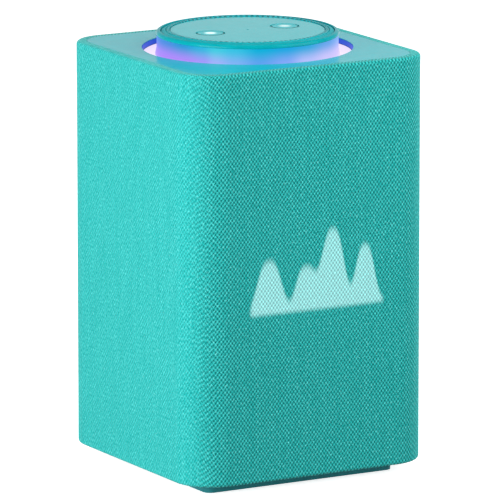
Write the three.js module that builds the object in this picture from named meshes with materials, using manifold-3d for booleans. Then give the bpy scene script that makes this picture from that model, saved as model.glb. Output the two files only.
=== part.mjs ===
// Cloth-covered tower speaker with a rotary dial on top. Millimetres, +Z up, the foot stands on z = 0.
// The front, where the light display glows through the cloth, faces -Y.

import * as THREE from 'three';
import { mergeVertices } from 'three/addons/utils/BufferGeometryUtils.js';
import Module from 'manifold-3d';

const wasm = await Module();
wasm.setup();

// Outside sizes
const bodyWidth = 141;
const bodyCornerRadius = 20.8;
const clothHeight = 212.8;
const clothThickness = 1.2;
const clothEdgeRadius = 1.6;
const topMargin = 4.9;
const footHeight = 6;
const footInset = 15;
const footCornerRadius = 4.7;
const footEdge = 0.8;
const dialRise = 9.2;

// Clearances
const gap = 0.3;
const slidingGap = 0.5;

// Sleeve
const shellWall = 2.2;
const plateThickness = 3;
const plateLedge = 5.3;
const ledgeThickness = 2.5;
const slotWidth = 7;
const slotPitch = 13;
const portOpeningWidth = 56;
const portOpeningHeight = 28;
const portOpeningDepth = 12;

// Cabinet and base. The spaces are left between the cabinet and the shell, and under the neck.
const sideSpace = 8.8;
const rearSpace = 28.8;
const neckSpace = 18.8;
const basePlateThickness = 3;
const bassSlotHeight = 21;
const postRadius = 5;
const postInsetX = 8;
const postInsetY = 10;
const cabinetWall = 3.5;
const cabinetFloor = 4;
const cabinetCornerRadius = 8;
const lidThickness = 3.5;
const screwRadius = 1.7;
const screwHeadRadius = 3.4;
const screwHeadHeight = 1.8;
const screwGrip = 10;

// Drivers: flange to magnet are radii, surround is the rubber's thickness
const wooferFlange = 46;
const woofer = {
  flange: wooferFlange, wall: wooferFlange - 5.5, cone: wooferFlange - 13, coil: 12, magnet: 27,
  depth: 20, surround: 0.8, segments: 24,
};
const midFlange = 20.5;
const mid = {
  flange: midFlange, wall: midFlange - 3.9, cone: midFlange - 8.5, coil: 5, magnet: 11,
  depth: 11, surround: 0.5, segments: 14,
};
const surroundWidth = 5;
const basketRim = 3;
const radiatorHole = 33;
const radiatorLip = 4;
const radiatorDisc = 22;
const radiatorRoll = 8.3;
const radiatorThickness = 3.5;
const radiatorSpacing = 2.5;
const midInset = 3.8;
const tweeterInset = 3.3;
const tweeterSpacing = 64;
const tweeterDepth = 10;
const tweeterFlange = 15;
const tweeterBody = 10.5;
const tweeterDome = 9;

// Display behind the cloth
const displayColumns = 25;
const displayRows = 16;
const displayPitch = 3.15;
const displayBorder = 2;
const displaySpacing = 1.6;
const displayGridDepth = 4.6;
const boardThickness = 1.6;

// Main board behind the cabinet, and the sockets on the port board
const mainBoardHalf = 45;
const mainBoardLift = 35.7;
const mainBoardDrop = 10.3;
const mainBoardStand = 2;
const heatSinkHalf = 30;
const heatSinkLength = 60;
const heatSinkDrop = 22.3;
const sockets = {
  ethernet: { x: -14, halfWidth: 8, height: 13.5 },
  hdmi: { x: 3, halfWidth: 7.6, height: 6 },
  power: { x: 18, halfWidth: 5, height: 10 },
  jack: { x: 18, halfWidth: 3.5, height: 7 },
};

// Dial and top, outwards in from the neck
const neckRadius = 46.9;
const recessWidth = 7.6;
const rimOverhang = 0.4;
const rimWidth = 2.4;
const rimDepth = 2.6;
const inlayWidth = 2.6;
const gripWidth = 2.1;
const neckFlare = 0.7;
const neckWall = 2.5;
const glowDepth = 3;
const glowThickness = 3.6;
const buttonRadius = 7.35;
const buttonInset = 17.9;
const buttonFlange = 1;
const buttonTravel = 0.35;
const microphoneRadius = 0.6;
const discThickness = 2.2;
const topBoardDrop = 7.4;
const gearModule = 1.3;
const gearWall = 3.5;
const pinionTeeth = 10;
const gearHeight = 5;
const encoderHalf = 5.5;
const encoderFront = 6;
const encoderHeight = 6.5;
const hubWall = 4;
const hubSpacing = 2.5;
const deckLip = 1.5;
const deckWall = 3;
const deckLegRadius = 4;
const deckLegInset = 18;
const deckRearLegInset = 34;
const deckLegHeight = 4;
const deckThickness = 3;

// Levels worked out from the sizes above
const half = bodyWidth / 2;
const plateTop = footHeight + clothHeight;
const dialTop = plateTop + dialRise;
const shellOuter = half - clothThickness - gap;
const shellInner = shellOuter - shellWall;
const shellCorner = bodyCornerRadius - (half - shellOuter);
const plateHalf = half - topMargin - gap;
const plateCorner = bodyCornerRadius - (half - plateHalf);
const plateBottom = plateTop - plateThickness;
const glowTop = plateTop - glowDepth;
const neckBottom = glowTop - glowThickness;
const neckTop = dialTop - rimDepth - gap;
const lightBoardTop = neckBottom - gap;

const deckTop = neckBottom - neckSpace;
const deckBottom = deckTop - deckThickness - deckLegHeight;
const lidTop = deckBottom - gap;
const cabinetTop = lidTop - lidThickness - gap;
const basePlateTop = footHeight + basePlateThickness;
const cabinetBottom = basePlateTop + bassSlotHeight + gap;
const cabinetHalf = shellInner - sideSpace;
const cabinetFront = -cabinetHalf;
const cabinetRear = shellInner - rearSpace;

const driverAxisY = (cabinetFront + cabinetRear) / 2;
const midHeight = cabinetTop - midInset - midFlange;
const radiatorHeight = midHeight - midFlange - radiatorSpacing - radiatorLip - radiatorHole;
const tweeterHeight = cabinetTop - tweeterInset - tweeterFlange;
const displayWidth = displayColumns * displayPitch;
const displayHeight = displayRows * displayPitch;
const displayTop = tweeterHeight - tweeterFlange - displaySpacing - displayBorder;
const displayBottom = displayTop - displayHeight;

const recessRadius = neckRadius + recessWidth;
const rimRadius = neckRadius + rimOverhang;
const rimInner = rimRadius - rimWidth;
const inlayInner = rimInner - inlayWidth;
const gripOuter = inlayInner - gap;
const discRadius = gripOuter - gripWidth;
const buttonOffset = discRadius - buttonInset;
const carrierOuter = neckRadius - neckWall - gap;
const carrierBottom = lightBoardTop - boardThickness - 4;
const ringTeeth = Math.floor(2 * (carrierOuter - gearWall - gearModule) / gearModule);
const ringPitch = gearModule * ringTeeth / 2;
const pinionPitch = gearModule * pinionTeeth / 2;
const encoderY = ringPitch - pinionPitch;

const roundSegments = 36;
const driverSegments = 24;
const tweeterSegments = 16;
const smallSegments = 10;
const cornerSegments = 4;

const colours = {
  cloth: 0x3cb8b0, plate: 0x2fb9c6, disc: 0x7dc8d0, rim: 0x00b4bc, glow: 0xf2d4ee, lit: 0xbff5f5,
  rubber: 0x0c4f55, shell: 0x16666c, cabinet: 0x1d2326, board: 0x14532f, steel: 0x9ea3a6,
  magnet: 0x3a3d40, cone: 0x24282b, copper: 0xb87333, white: 0xe8ecec, gear: 0xd9d6c8,
};

// Basic shapes -------------------------------------------------------------------------------

// A solid of revolution about Z. Points are [radius, height]; a profile off the axis closes on itself.
function turned(points, segments = roundSegments) {
  const profile = points.map(([radius, height]) => new THREE.Vector2(radius, height));
  if (THREE.ShapeUtils.area(profile) < 0) {
    profile.reverse();
  }
  if (profile[0].x > 0 || profile[profile.length - 1].x > 0) {
    profile.push(profile[0].clone());
  }
  return new THREE.LatheGeometry(profile, segments).rotateX(Math.PI / 2);
}

function ring(inner, outer, low, high, segments) {
  return turned([[inner, low], [outer, low], [outer, high], [inner, high]], segments);
}

function disc(radius, low, high, segments) {
  return turned([[0, low], [radius, low], [radius, high], [0, high]], segments);
}

function block(xLow, xHigh, yLow, yHigh, zLow, zHigh) {
  const box = new THREE.BoxGeometry(xHigh - xLow, yHigh - yLow, zHigh - zLow);
  return box.translate((xLow + xHigh) / 2, (yLow + yHigh) / 2, (zLow + zHigh) / 2);
}

function roundedOutline(xLow, xHigh, yLow, yHigh, radius) {
  const outline = new THREE.Shape();
  outline.absarc(xHigh - radius, yHigh - radius, radius, 0, Math.PI / 2);
  outline.absarc(xLow + radius, yHigh - radius, radius, Math.PI / 2, Math.PI);
  outline.absarc(xLow + radius, yLow + radius, radius, Math.PI, 1.5 * Math.PI);
  outline.absarc(xHigh - radius, yLow + radius, radius, 1.5 * Math.PI, 2 * Math.PI);
  return outline;
}

function prism(outline, low, high) {
  const settings = { depth: high - low, bevelEnabled: false, curveSegments: cornerSegments };
  return new THREE.ExtrudeGeometry(outline, settings).translate(0, 0, low);
}

function squarePrism(halfWidth, radius, low, high) {
  return prism(roundedOutline(-halfWidth, halfWidth, -halfWidth, halfWidth, radius), low, high);
}

// A square prism whose upper and lower edges are rounded over.
function softSquare(halfWidth, radius, low, high, edge) {
  const inside = halfWidth - edge;
  const outline = roundedOutline(-inside, inside, -inside, inside, radius - edge);
  const settings = {
    depth: high - low - 2 * edge, bevelThickness: edge, bevelSize: edge, bevelSegments: 2,
    curveSegments: cornerSegments,
  };
  return new THREE.ExtrudeGeometry(outline, settings).translate(0, 0, low + edge);
}

const alongX = (geometry) => geometry.rotateY(Math.PI / 2);
const alongY = (geometry) => geometry.rotateX(-Math.PI / 2);

// Joining and cutting ------------------------------------------------------------------------

function toSolid(geometry) {
  const bare = geometry.clone();
  bare.deleteAttribute('normal');
  bare.deleteAttribute('uv');
  const merged = mergeVertices(bare, 1e-4);
  const corners = merged.index.array;
  const kept = [];
  for (let i = 0; i < corners.length; i += 3) {
    const [a, b, c] = [corners[i], corners[i + 1], corners[i + 2]];
    if (a !== b && b !== c && c !== a) {
      kept.push(a, b, c);
    }
  }
  return new wasm.Manifold(new wasm.Mesh({
    numProp: 3,
    vertProperties: new Float32Array(merged.attributes.position.array),
    triVerts: new Uint32Array(kept),
  }));
}

function toGeometry(solid) {
  const mesh = solid.getMesh();
  const geometry = new THREE.BufferGeometry();
  geometry.setAttribute('position', new THREE.BufferAttribute(mesh.vertProperties, 3));
  geometry.setIndex(new THREE.BufferAttribute(mesh.triVerts, 1));
  geometry.computeVertexNormals();
  return geometry;
}

function cut(geometry, tools) {
  return toGeometry(tools.reduce((solid, tool) => solid.subtract(toSolid(tool)), toSolid(geometry)));
}

function join(geometries) {
  const [first, ...rest] = geometries.map(toSolid);
  return toGeometry(rest.reduce((solid, other) => solid.add(other), first));
}

// Naming and placing -------------------------------------------------------------------------

const speaker = new THREE.Group();

function piece(name, geometry, colour, roughness, metalness = 0, parent = speaker) {
  const material = new THREE.MeshStandardMaterial({ color: colour, roughness, metalness });
  const mesh = new THREE.Mesh(geometry, material);
  mesh.name = name;
  parent.add(mesh);
  return mesh;
}

const sides = [{ name: 'left', sign: -1 }, { name: 'right', sign: 1 }];

// Sleeve: cloth over a slotted shell, with the top plate set in it. It lifts off upwards. -----

function addSleeve() {
  const portOpening = block(
    -portOpeningWidth / 2, portOpeningWidth / 2, half - portOpeningDepth, half + 1,
    footHeight - 1, footHeight + portOpeningHeight,
  );
  const inside = half - clothThickness;
  const cloth = cut(softSquare(half, bodyCornerRadius, footHeight, plateTop, clothEdgeRadius), [
    squarePrism(
      inside, bodyCornerRadius - clothThickness,
      footHeight + clothThickness, plateTop - clothThickness,
    ),
    squarePrism(plateHalf + gap, plateCorner + gap, plateTop - 2 * clothThickness, plateTop + 1),
    squarePrism(shellInner, shellCorner - shellWall, footHeight - 1, footHeight + 2 * clothThickness),
    portOpening,
  ]);
  piece('cloth_cover', cloth, colours.cloth, 0.9);

  const shellLow = footHeight + clothThickness + gap;
  const shellHigh = plateTop - clothThickness - gap;
  const ledgeTop = plateBottom - gap;
  const ledgeHalf = plateHalf - plateLedge;
  const shell = cut(squarePrism(shellOuter, shellCorner, shellLow, shellHigh), [
    squarePrism(shellInner, shellCorner - shellWall, shellLow - 1, ledgeTop - ledgeThickness),
    squarePrism(plateHalf + gap, plateCorner + gap, ledgeTop, shellHigh + 1),
    squarePrism(ledgeHalf, plateCorner - plateLedge, ledgeTop - ledgeThickness - 1, ledgeTop + 1),
    portOpening,
    ...soundSlots(),
    block(
      -displayWidth / 2 - displayBorder - slidingGap, displayWidth / 2 + displayBorder + slidingGap,
      -half, 1 - shellInner,
      displayBottom - displayBorder - slidingGap,
      displayTop + displayBorder + slidingGap,
    ),
  ]);
  piece('grille_shell', shell, colours.shell, 0.6);

  const plateOutline = roundedOutline(-plateHalf, plateHalf, -plateHalf, plateHalf, plateCorner);
  const opening = disc(recessRadius, plateBottom - 1, plateTop + 1);
  const plate = cut(prism(plateOutline, plateBottom, plateTop), [opening]);
  piece('top_plate', plate, colours.plate, 0.4);
}

// Upright slots that let sound through the shell: over the drivers and round the bass slot.
function soundSlots() {
  const slots = [];
  const sideWall = (along, low, high) => {
    slots.push(block(-half, half, along - slotWidth / 2, along + slotWidth / 2, low, high));
  };
  const endWall = (along, low, high, yLow, yHigh) => {
    slots.push(block(along - slotWidth / 2, along + slotWidth / 2, yLow, yHigh, low, high));
  };
  for (let step = -3; step <= 3; step += 1) {
    const along = step * slotPitch;
    sideWall(along, radiatorHeight - radiatorHole, midHeight + mid.flange);
    endWall(along, radiatorHeight - radiatorHole, midHeight, 0, half);
    sideWall(along, basePlateTop + 3, cabinetBottom);
    endWall(along, basePlateTop + 3, cabinetBottom, -half, 0);
  }
  for (const { sign } of sides) {
    for (const offset of [-slotPitch / 2, slotPitch / 2]) {
      const along = sign * tweeterSpacing / 2 + offset;
      endWall(along, tweeterHeight - tweeterBody, tweeterHeight + tweeterBody, -half, 0);
    }
  }
  return slots;
}

// Base: rubber foot, base plate with hollow posts, and the screws that hold the cabinet on it. --

function addBase() {
  const footHalf = half - footInset;
  const foot = softSquare(footHalf, footCornerRadius, 0, footHeight - gap, footEdge);
  piece('rubber_foot', foot, colours.rubber, 0.85);

  const corners = [];
  for (const x of [postInsetX - cabinetHalf, cabinetHalf - postInsetX]) {
    for (const y of [cabinetFront + postInsetY, cabinetRear - postInsetY]) {
      corners.push({ x, y });
    }
  }
  const plateEdge = shellInner - slidingGap;
  const plate = squarePrism(plateEdge, shellCorner - shellWall, footHeight, basePlateTop);
  const posts = corners.map(({ x, y }) => (
    disc(postRadius, basePlateTop - 1, cabinetBottom - gap, smallSegments).translate(x, y, 0)
  ));
  const holes = corners.flatMap(({ x, y }) => [
    disc(screwRadius + gap, footHeight - 1, cabinetBottom, smallSegments).translate(x, y, 0),
    disc(screwHeadRadius + gap, footHeight - 1, footHeight + screwHeadHeight + gap, smallSegments)
      .translate(x, y, 0),
  ]);
  piece('base_plate', cut(join([plate, ...posts]), holes), colours.cabinet, 0.6);

  const tip = cabinetBottom + cabinetFloor + screwGrip - gap;
  const screw = [
    [0, footHeight + gap / 2], [screwHeadRadius, footHeight + gap / 2],
    [screwHeadRadius, footHeight + screwHeadHeight], [screwRadius, footHeight + screwHeadHeight],
    [screwRadius, tip - 1.5], [0, tip],
  ];
  corners.forEach(({ x, y }, index) => {
    const mesh = piece(`base_screw_${index + 1}`, turned(screw, 12), colours.steel, 0.35, 0.9);
    mesh.position.set(x, y, 0);
  });
  return corners;
}

// Cabinet: a sealed tub that carries every driver, and its lid. --------------------------------

function addCabinet(corners) {
  const outline = roundedOutline(
    -cabinetHalf, cabinetHalf, cabinetFront, cabinetRear, cabinetCornerRadius,
  );
  const inner = roundedOutline(
    cabinetWall - cabinetHalf, cabinetHalf - cabinetWall,
    cabinetFront + cabinetWall, cabinetRear - cabinetWall, cabinetCornerRadius - cabinetWall,
  );
  const floorTop = cabinetBottom + cabinetFloor;
  const bosses = corners.map((corner) => (
    disc(postRadius, floorTop - 1, floorTop + screwGrip + 1, smallSegments)
      .translate(corner.x, corner.y, 0)
  ));
  const shellOnly = cut(prism(outline, cabinetBottom, cabinetTop), [prism(inner, floorTop, cabinetTop + 1)]);
  const across = (radius, height) => (
    alongX(disc(radius, -half, half, driverSegments)).translate(0, driverAxisY, height)
  );
  const tub = cut(join([shellOnly, ...bosses]), [
    disc(woofer.wall + gap, cabinetBottom - 1, floorTop + 1, driverSegments)
      .translate(0, driverAxisY, 0),
    across(radiatorHole, radiatorHeight),
    across(mid.wall + gap, midHeight),
    ...sides.map(({ sign }) => (
      alongY(disc(tweeterBody + gap, -half, 0, tweeterSegments))
        .translate(sign * tweeterSpacing / 2, 0, tweeterHeight)
    )),
    ...corners.map((corner) => (
      disc(screwRadius + gap, cabinetBottom - 1, floorTop + screwGrip, smallSegments)
        .translate(corner.x, corner.y, 0)
    )),
  ]);
  piece('speaker_cabinet', tub, colours.cabinet, 0.55);
  piece('cabinet_lid', prism(outline, cabinetTop + gap, lidTop), colours.cabinet, 0.55);
}

// A cone driver in its own frame: z = 0 is the mounting face and +Z the way it plays. ----------

const basketSheet = 1.5;
const basketFoot = (size) => size.magnet - 2;
const basketMouth = (size) => size.cone + surroundWidth + 0.5;

// The inner radius of a basket's sloping wall at a level between its back and its mouth.
function basketInside(size, level) {
  const back = basketFoot(size) - basketSheet;
  const wallDepth = size.depth - basketSheet;
  return back + (basketMouth(size) - back) * (level + wallDepth) / wallDepth;
}

function basketOutline(size) {
  const throat = size.coil + 1.5;
  const foot = basketFoot(size);
  const inner = basketMouth(size);
  return [
    [foot, -size.depth], [size.wall, -1], [size.wall, gap], [size.flange, gap],
    [size.flange, gap + basketRim], [inner, gap + basketRim], [inner, 0],
    [foot - basketSheet, basketSheet - size.depth], [throat, basketSheet - size.depth],
    [throat, -size.depth],
  ];
}

// A magnet with a round gap for the coil. A basket's outline can be let in, to make them one casting.
function magnetOutline(size, top, basket = []) {
  const bottom = top - size.magnet * 0.7;
  const gapBottom = bottom + 3;
  const gapInner = size.coil - 0.8;
  const gapOuter = size.coil + 0.8;
  return [
    [0, bottom], [size.magnet, bottom], [size.magnet, top], ...basket, [gapOuter, top],
    [gapOuter, gapBottom], [gapInner, gapBottom], [gapInner, top], [0, top],
  ];
}

// The half roll between the cone's edge and the basket's flange, with its flat glued lip outside.
function rollSurround(inner, outer, lipOuter, level, thickness, segments) {
  const centre = (inner + outer) / 2;
  const reach = (outer - inner) / 2 - 0.2;
  const steps = 3;
  const roll = [];
  for (let step = 0; step <= steps; step += 1) {
    const angle = Math.PI * step / steps;
    roll.push([centre - reach * Math.cos(angle), level + reach * Math.sin(angle)]);
  }
  const lower = [[inner, level], ...roll, [lipOuter, level]];
  const upper = lower.map(([radius, height]) => [radius, height + thickness]).reverse();
  return turned([...lower, ...upper], segments);
}

function driverCone(size) {
  const thickness = size.cone / 30;
  const front = gap + basketRim;
  const neck = -size.depth * 0.6;
  const coilEnd = -size.depth - size.magnet * 0.2;
  return turned([
    [size.cone, front], [size.cone, front + thickness], [size.coil, neck + thickness],
    [size.coil - 0.4, neck + thickness], [size.coil - 0.4, coilEnd], [size.coil + 0.4, coilEnd],
    [size.coil + 0.4, neck],
  ], size.segments);
}

function addDriver(name, size, basket, holder) {
  piece(`${name}_basket`, turned(basket, size.segments), colours.steel, 0.45, 0.8, holder);
  const lip = size.flange - 2;
  const surround = rollSurround(
    size.cone + gap, size.cone + gap + surroundWidth, lip, 2 * gap + basketRim,
    size.surround, size.segments,
  );
  piece(`${name}_surround`, surround, colours.cone, 0.8, 0, holder);
  piece(`${name}_cone`, driverCone(size), colours.cone, 0.7, 0, holder);
}

function addDrivers() {
  const facingDown = new THREE.Group();
  facingDown.position.set(0, driverAxisY, cabinetBottom);
  facingDown.rotation.x = Math.PI;
  speaker.add(facingDown);
  addDriver('woofer', woofer, basketOutline(woofer), facingDown);
  const magnet = turned(magnetOutline(woofer, -woofer.depth - gap), woofer.segments);
  piece('woofer_magnet', magnet, colours.magnet, 0.5, 0.6, facingDown);

  const spiderLevel = 2.5 - woofer.depth;
  const spiderOuter = basketInside(woofer, spiderLevel) - gap;
  const spider = ring(
    woofer.coil + 0.4 + gap, spiderOuter, spiderLevel, spiderLevel + 0.8, driverSegments,
  );
  piece('woofer_spider', spider, colours.copper, 0.9, 0, facingDown);

  const capLevel = -woofer.depth * 0.6 + woofer.cone / 30 + gap;
  const capRadius = woofer.coil - 1;
  const cap = turned([
    [0, capLevel], [capRadius, capLevel], [capRadius, capLevel + 0.8],
    [capRadius * 0.7, capLevel + 3.4], [capRadius * 0.35, capLevel + 4.6], [0, capLevel + 5],
  ], tweeterSegments);
  piece('woofer_dust_cap', cap, colours.cone, 0.6, 0, facingDown);

  for (const { name, sign } of sides) {
    const wall = new THREE.Group();
    wall.position.set(sign * cabinetHalf, driverAxisY, 0);
    wall.rotation.y = sign * Math.PI / 2;
    speaker.add(wall);
    addSideDrivers(name, sign, wall);
    addTweeter(name, sign);
  }
}

function addSideDrivers(name, sign, wall) {
  const midHolder = new THREE.Group();
  midHolder.position.x = -sign * midHeight;
  wall.add(midHolder);
  addDriver(`${name}_mid`, mid, magnetOutline(mid, -mid.depth, basketOutline(mid)), midHolder);

  const radiatorHolder = new THREE.Group();
  radiatorHolder.position.x = -sign * radiatorHeight;
  wall.add(radiatorHolder);
  const roll = rollSurround(
    radiatorDisc + gap, radiatorDisc + gap + radiatorRoll, radiatorHole + radiatorLip,
    gap, 1.2, driverSegments,
  );
  piece(`${name}_radiator_surround`, roll, colours.cone, 0.8, 0, radiatorHolder);
  const plate = turned([
    [0, 0], [radiatorDisc - 1.5, 0], [radiatorDisc, 1], [radiatorDisc, radiatorThickness - 1],
    [radiatorDisc - 1.5, radiatorThickness], [0, radiatorThickness],
  ], driverSegments);
  piece(`${name}_radiator`, plate, colours.magnet, 0.4, 0.5, radiatorHolder);
}

function addTweeter(name, sign) {
  const holder = new THREE.Group();
  holder.position.set(sign * tweeterSpacing / 2, cabinetFront, tweeterHeight);
  holder.rotation.x = Math.PI / 2;
  speaker.add(holder);
  const seat = tweeterDome + gap;
  const housing = turned([
    [0, -tweeterDepth], [tweeterBody, -tweeterDepth], [tweeterBody, gap], [tweeterFlange, gap],
    [tweeterFlange, gap + 2], [seat + 1.5, gap + 2], [seat, gap + 0.5], [seat, -2], [0, -2],
  ], tweeterSegments);
  piece(`${name}_tweeter`, housing, colours.magnet, 0.5, 0.2, holder);
  const low = -2 + gap;
  const dome = turned([
    [0, low], [tweeterDome, low], [tweeterDome, low + 1], [tweeterDome * 0.8, low + 2.2],
    [tweeterDome * 0.45, low + 3.3], [0, low + 3.8],
  ], tweeterSegments);
  piece(`${name}_tweeter_dome`, dome, colours.copper, 0.5, 0.1, holder);
}

// Display: lamp board, light grid and diffuser in front of the cabinet. ------------------------

function addDisplay() {
  const x = displayWidth / 2 + displayBorder;
  const low = displayBottom - displayBorder;
  const high = displayTop + displayBorder;
  const boardBack = cabinetFront - gap;
  const boardFront = boardBack - boardThickness;
  piece('display_board', block(-x, x, boardFront, boardBack, low, high), colours.board, 0.5);
  const gridBack = boardFront - gap;
  const gridFront = gridBack - displayGridDepth;
  piece('display_light_grid', block(-x, x, gridFront, gridBack, low, high), colours.white, 0.6);
  const filmBack = gridFront - gap;
  const film = block(-x, x, filmBack - 0.8, filmBack, low, high);
  piece('display_diffuser', film, colours.lit, 0.4);
}

// Electronics behind the cabinet, and the ports low at the back. ------------------------------

function addElectronics() {
  const boardFront = cabinetRear + mainBoardStand;
  const boardBack = boardFront + boardThickness;
  const board = block(
    -mainBoardHalf, mainBoardHalf, boardFront, boardBack,
    cabinetBottom + mainBoardLift, cabinetTop - mainBoardDrop,
  );
  piece('main_board', board, colours.board, 0.5);

  const sinkBase = boardBack + gap;
  const finCount = 9;
  const finPitch = 7;
  const finThickness = 2;
  const finReach = 16;
  const sinkHigh = cabinetTop - heatSinkDrop;
  const sinkLow = sinkHigh - heatSinkLength;
  const sink = [block(-heatSinkHalf, heatSinkHalf, sinkBase, sinkBase + 3, sinkLow, sinkHigh)];
  for (let fin = 0; fin < finCount; fin += 1) {
    const x = (fin - (finCount - 1) / 2) * finPitch;
    sink.push(block(
      x - finThickness / 2, x + finThickness / 2, sinkBase + 2, sinkBase + finReach, sinkLow, sinkHigh,
    ));
  }
  piece('amplifier_heat_sink', join(sink), colours.steel, 0.4, 0.9);

  const panelBack = shellInner - 8;
  const panelFront = panelBack + 2;
  const panelHalf = portOpeningWidth / 2 - slidingGap;
  const panelTop = footHeight + portOpeningHeight - slidingGap;
  const boardLow = basePlateTop + 2;
  const boardHigh = boardLow + boardThickness;
  const socketLow = boardHigh + gap;
  const socketBack = panelBack - 14;
  const portBoard = block(
    1 - panelHalf, panelHalf - 1, cabinetRear + 1, panelBack - gap, boardLow, boardHigh,
  );
  piece('port_board', portBoard, colours.board, 0.5);

  // Each socket is a box whose nose stands in the panel's hole. The jack sits on the power inlet.
  const nose = panelFront - gap;
  const { ethernet, hdmi, power, jack } = sockets;
  const jackLow = socketLow + power.height + 1;
  const socketBox = ({ x, halfWidth, height }, low) => (
    block(x - halfWidth, x + halfWidth, socketBack, nose, low, low + height)
  );
  const ethernetMouth = block(
    ethernet.x - 5.9, ethernet.x + 5.9, nose - 12, nose + 1, socketLow + 3, socketLow + 11,
  );
  const hdmiMouth = block(
    hdmi.x - 7, hdmi.x + 7, nose - 10, nose + 1, socketLow + 0.7, socketLow + 5.2,
  );
  const barrel = alongY(ring(1.2, 3.2, nose - 9, nose + 1, smallSegments))
    .translate(power.x, 0, socketLow + power.height / 2);
  const jackBore = alongY(disc(1.8, nose - 12, nose + 1, smallSegments))
    .translate(jack.x, 0, jackLow + jack.height / 2);
  piece('ethernet_socket', cut(socketBox(ethernet, socketLow), [ethernetMouth]), colours.steel, 0.4, 0.8);
  piece('hdmi_socket', cut(socketBox(hdmi, socketLow), [hdmiMouth]), colours.steel, 0.4, 0.9);
  piece('power_inlet', cut(socketBox(power, socketLow), [barrel]), colours.cabinet, 0.5);
  piece('audio_jack', cut(socketBox(jack, jackLow), [jackBore]), colours.cabinet, 0.5);

  const opening = ({ x, halfWidth, height }, low) => block(
    x - halfWidth - gap, x + halfWidth + gap, panelBack - 1, panelFront + 1, low - gap, low + height + gap,
  );
  const panel = cut(block(-panelHalf, panelHalf, panelBack, panelFront, basePlateTop + gap, panelTop), [
    opening(ethernet, socketLow), opening(hdmi, socketLow), opening(power, socketLow),
    opening(jack, jackLow),
  ]);
  piece('port_panel', panel, colours.cabinet, 0.6);
}

// Top: deck, light ring, neck, fixed disc with two buttons, turning dial and its encoder. -------

function addTop() {
  const deckRadius = recessRadius + deckLip;
  const deckPlate = disc(deckRadius, deckBottom + deckLegHeight, deckTop);
  const legX = deckRadius - deckLegInset;
  const legs = [[-legX, -legX], [legX, -legX]].concat(
    [[-legX, deckRadius - deckRearLegInset], [legX, deckRadius - deckRearLegInset]],
  ).map(([x, y]) => disc(deckLegRadius, deckBottom, deckTop - 1, smallSegments).translate(x, y, 0));
  const wallOuter = recessRadius - deckLip;
  const outerWall = ring(
    wallOuter - deckWall, wallOuter, deckTop - 1, lightBoardTop - boardThickness - gap,
  );
  const bearing = ring(carrierOuter - 2.6, carrierOuter, deckTop - 1, carrierBottom - gap);
  piece('upper_deck', join([deckPlate, ...legs, outerWall, bearing]), colours.cabinet, 0.6);

  const lightBoard = ring(
    carrierOuter + 1.4, recessRadius + 1, lightBoardTop - boardThickness, lightBoardTop,
  );
  piece('light_ring_board', lightBoard, colours.board, 0.5);

  const flareRadius = neckRadius + neckFlare;
  const glow = ring(flareRadius + gap, recessRadius - gap, neckBottom, glowTop);
  piece('glow_ring', glow, colours.glow, 0.5);
  const neck = turned([
    [neckRadius - neckWall, neckBottom], [flareRadius, neckBottom], [flareRadius, glowTop],
    [neckRadius + 0.2, glowTop + 1.4], [neckRadius, glowTop + 2.8], [neckRadius, neckTop],
    [neckRadius - neckWall, neckTop],
  ]);
  piece('neck_light_guide', neck, colours.glow, 0.3);

  const boardLow = dialTop - topBoardDrop;
  const boardHigh = boardLow + boardThickness;
  const boardRadius = discRadius - 2.9;
  const hubOuter = encoderY - encoderFront - hubSpacing;
  const hub = ring(hubOuter - hubWall, hubOuter, deckTop + gap, boardLow - gap, driverSegments);
  piece('top_hub', hub, colours.cabinet, 0.6);
  piece('top_board', disc(boardRadius, boardLow, boardHigh), colours.board, 0.5);

  const discUnder = dialTop - discThickness;
  const touchDisc = cut(turned([
    [0, dialTop], [discRadius, dialTop], [discRadius, discUnder], [boardRadius, discUnder],
    [boardRadius, boardHigh + gap], [boardRadius - 1.5, boardHigh + gap],
    [boardRadius - 1.5, discUnder], [0, discUnder],
  ]), [
    disc(microphoneRadius, discUnder - 1, dialTop + 1, 12),
    ...sides.map(({ sign }) => (
      disc(buttonRadius + gap, discUnder - 1, dialTop + 1, driverSegments)
        .translate(sign * buttonOffset, 0, 0)
    )),
  ]);
  piece('touch_disc', touchDisc, colours.disc, 0.35);
  addButtons(boardHigh, discUnder);
  addDial();
}

function addButtons(boardHigh, discUnder) {
  const switchTop = boardHigh + gap + 1.5;
  const plungerTop = switchTop + 0.4;
  const stemBottom = plungerTop + buttonTravel + 0.05;
  const flangeTop = discUnder - gap;
  const cap = turned([
    [0, dialTop], [buttonRadius - 0.3, dialTop], [buttonRadius, dialTop - 0.3],
    [buttonRadius, flangeTop], [buttonRadius + buttonFlange, flangeTop],
    [buttonRadius + buttonFlange, flangeTop - 0.6],
    [2, flangeTop - 0.6], [2, stemBottom], [0, stemBottom],
  ], driverSegments);
  const plunger = disc(1.6, switchTop - 0.5, plungerTop, 12);
  const body = block(-3, 3, -3, 3, boardHigh + gap, switchTop);
  for (const { name, sign } of sides) {
    const x = sign * buttonOffset;
    piece(`${name}_button`, cap.clone(), colours.disc, 0.35).position.x = x;
    piece(`${name}_button_switch`, join([body, plunger]), colours.steel, 0.4, 0.5).position.x = x;
  }
}

// An outline with straight-sided teeth. The shares are the parts of a tooth's half step that its tip and
// its root reach to on each side of its middle.
function toothedOutline(teeth, tip, root, tipShare, rootShare, phase, path) {
  const step = 2 * Math.PI / teeth;
  for (let tooth = 0; tooth < teeth; tooth += 1) {
    const centre = phase + tooth * step;
    const corners = [
      [root, -rootShare], [tip, -tipShare], [tip, tipShare], [root, rootShare],
    ];
    for (const [radius, share] of corners) {
      const angle = centre + share * step / 2;
      const [x, y] = [radius * Math.cos(angle), radius * Math.sin(angle)];
      if (tooth === 0 && share === -rootShare) {
        path.moveTo(x, y);
      } else {
        path.lineTo(x, y);
      }
    }
  }
  path.closePath();
  return path;
}

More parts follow.
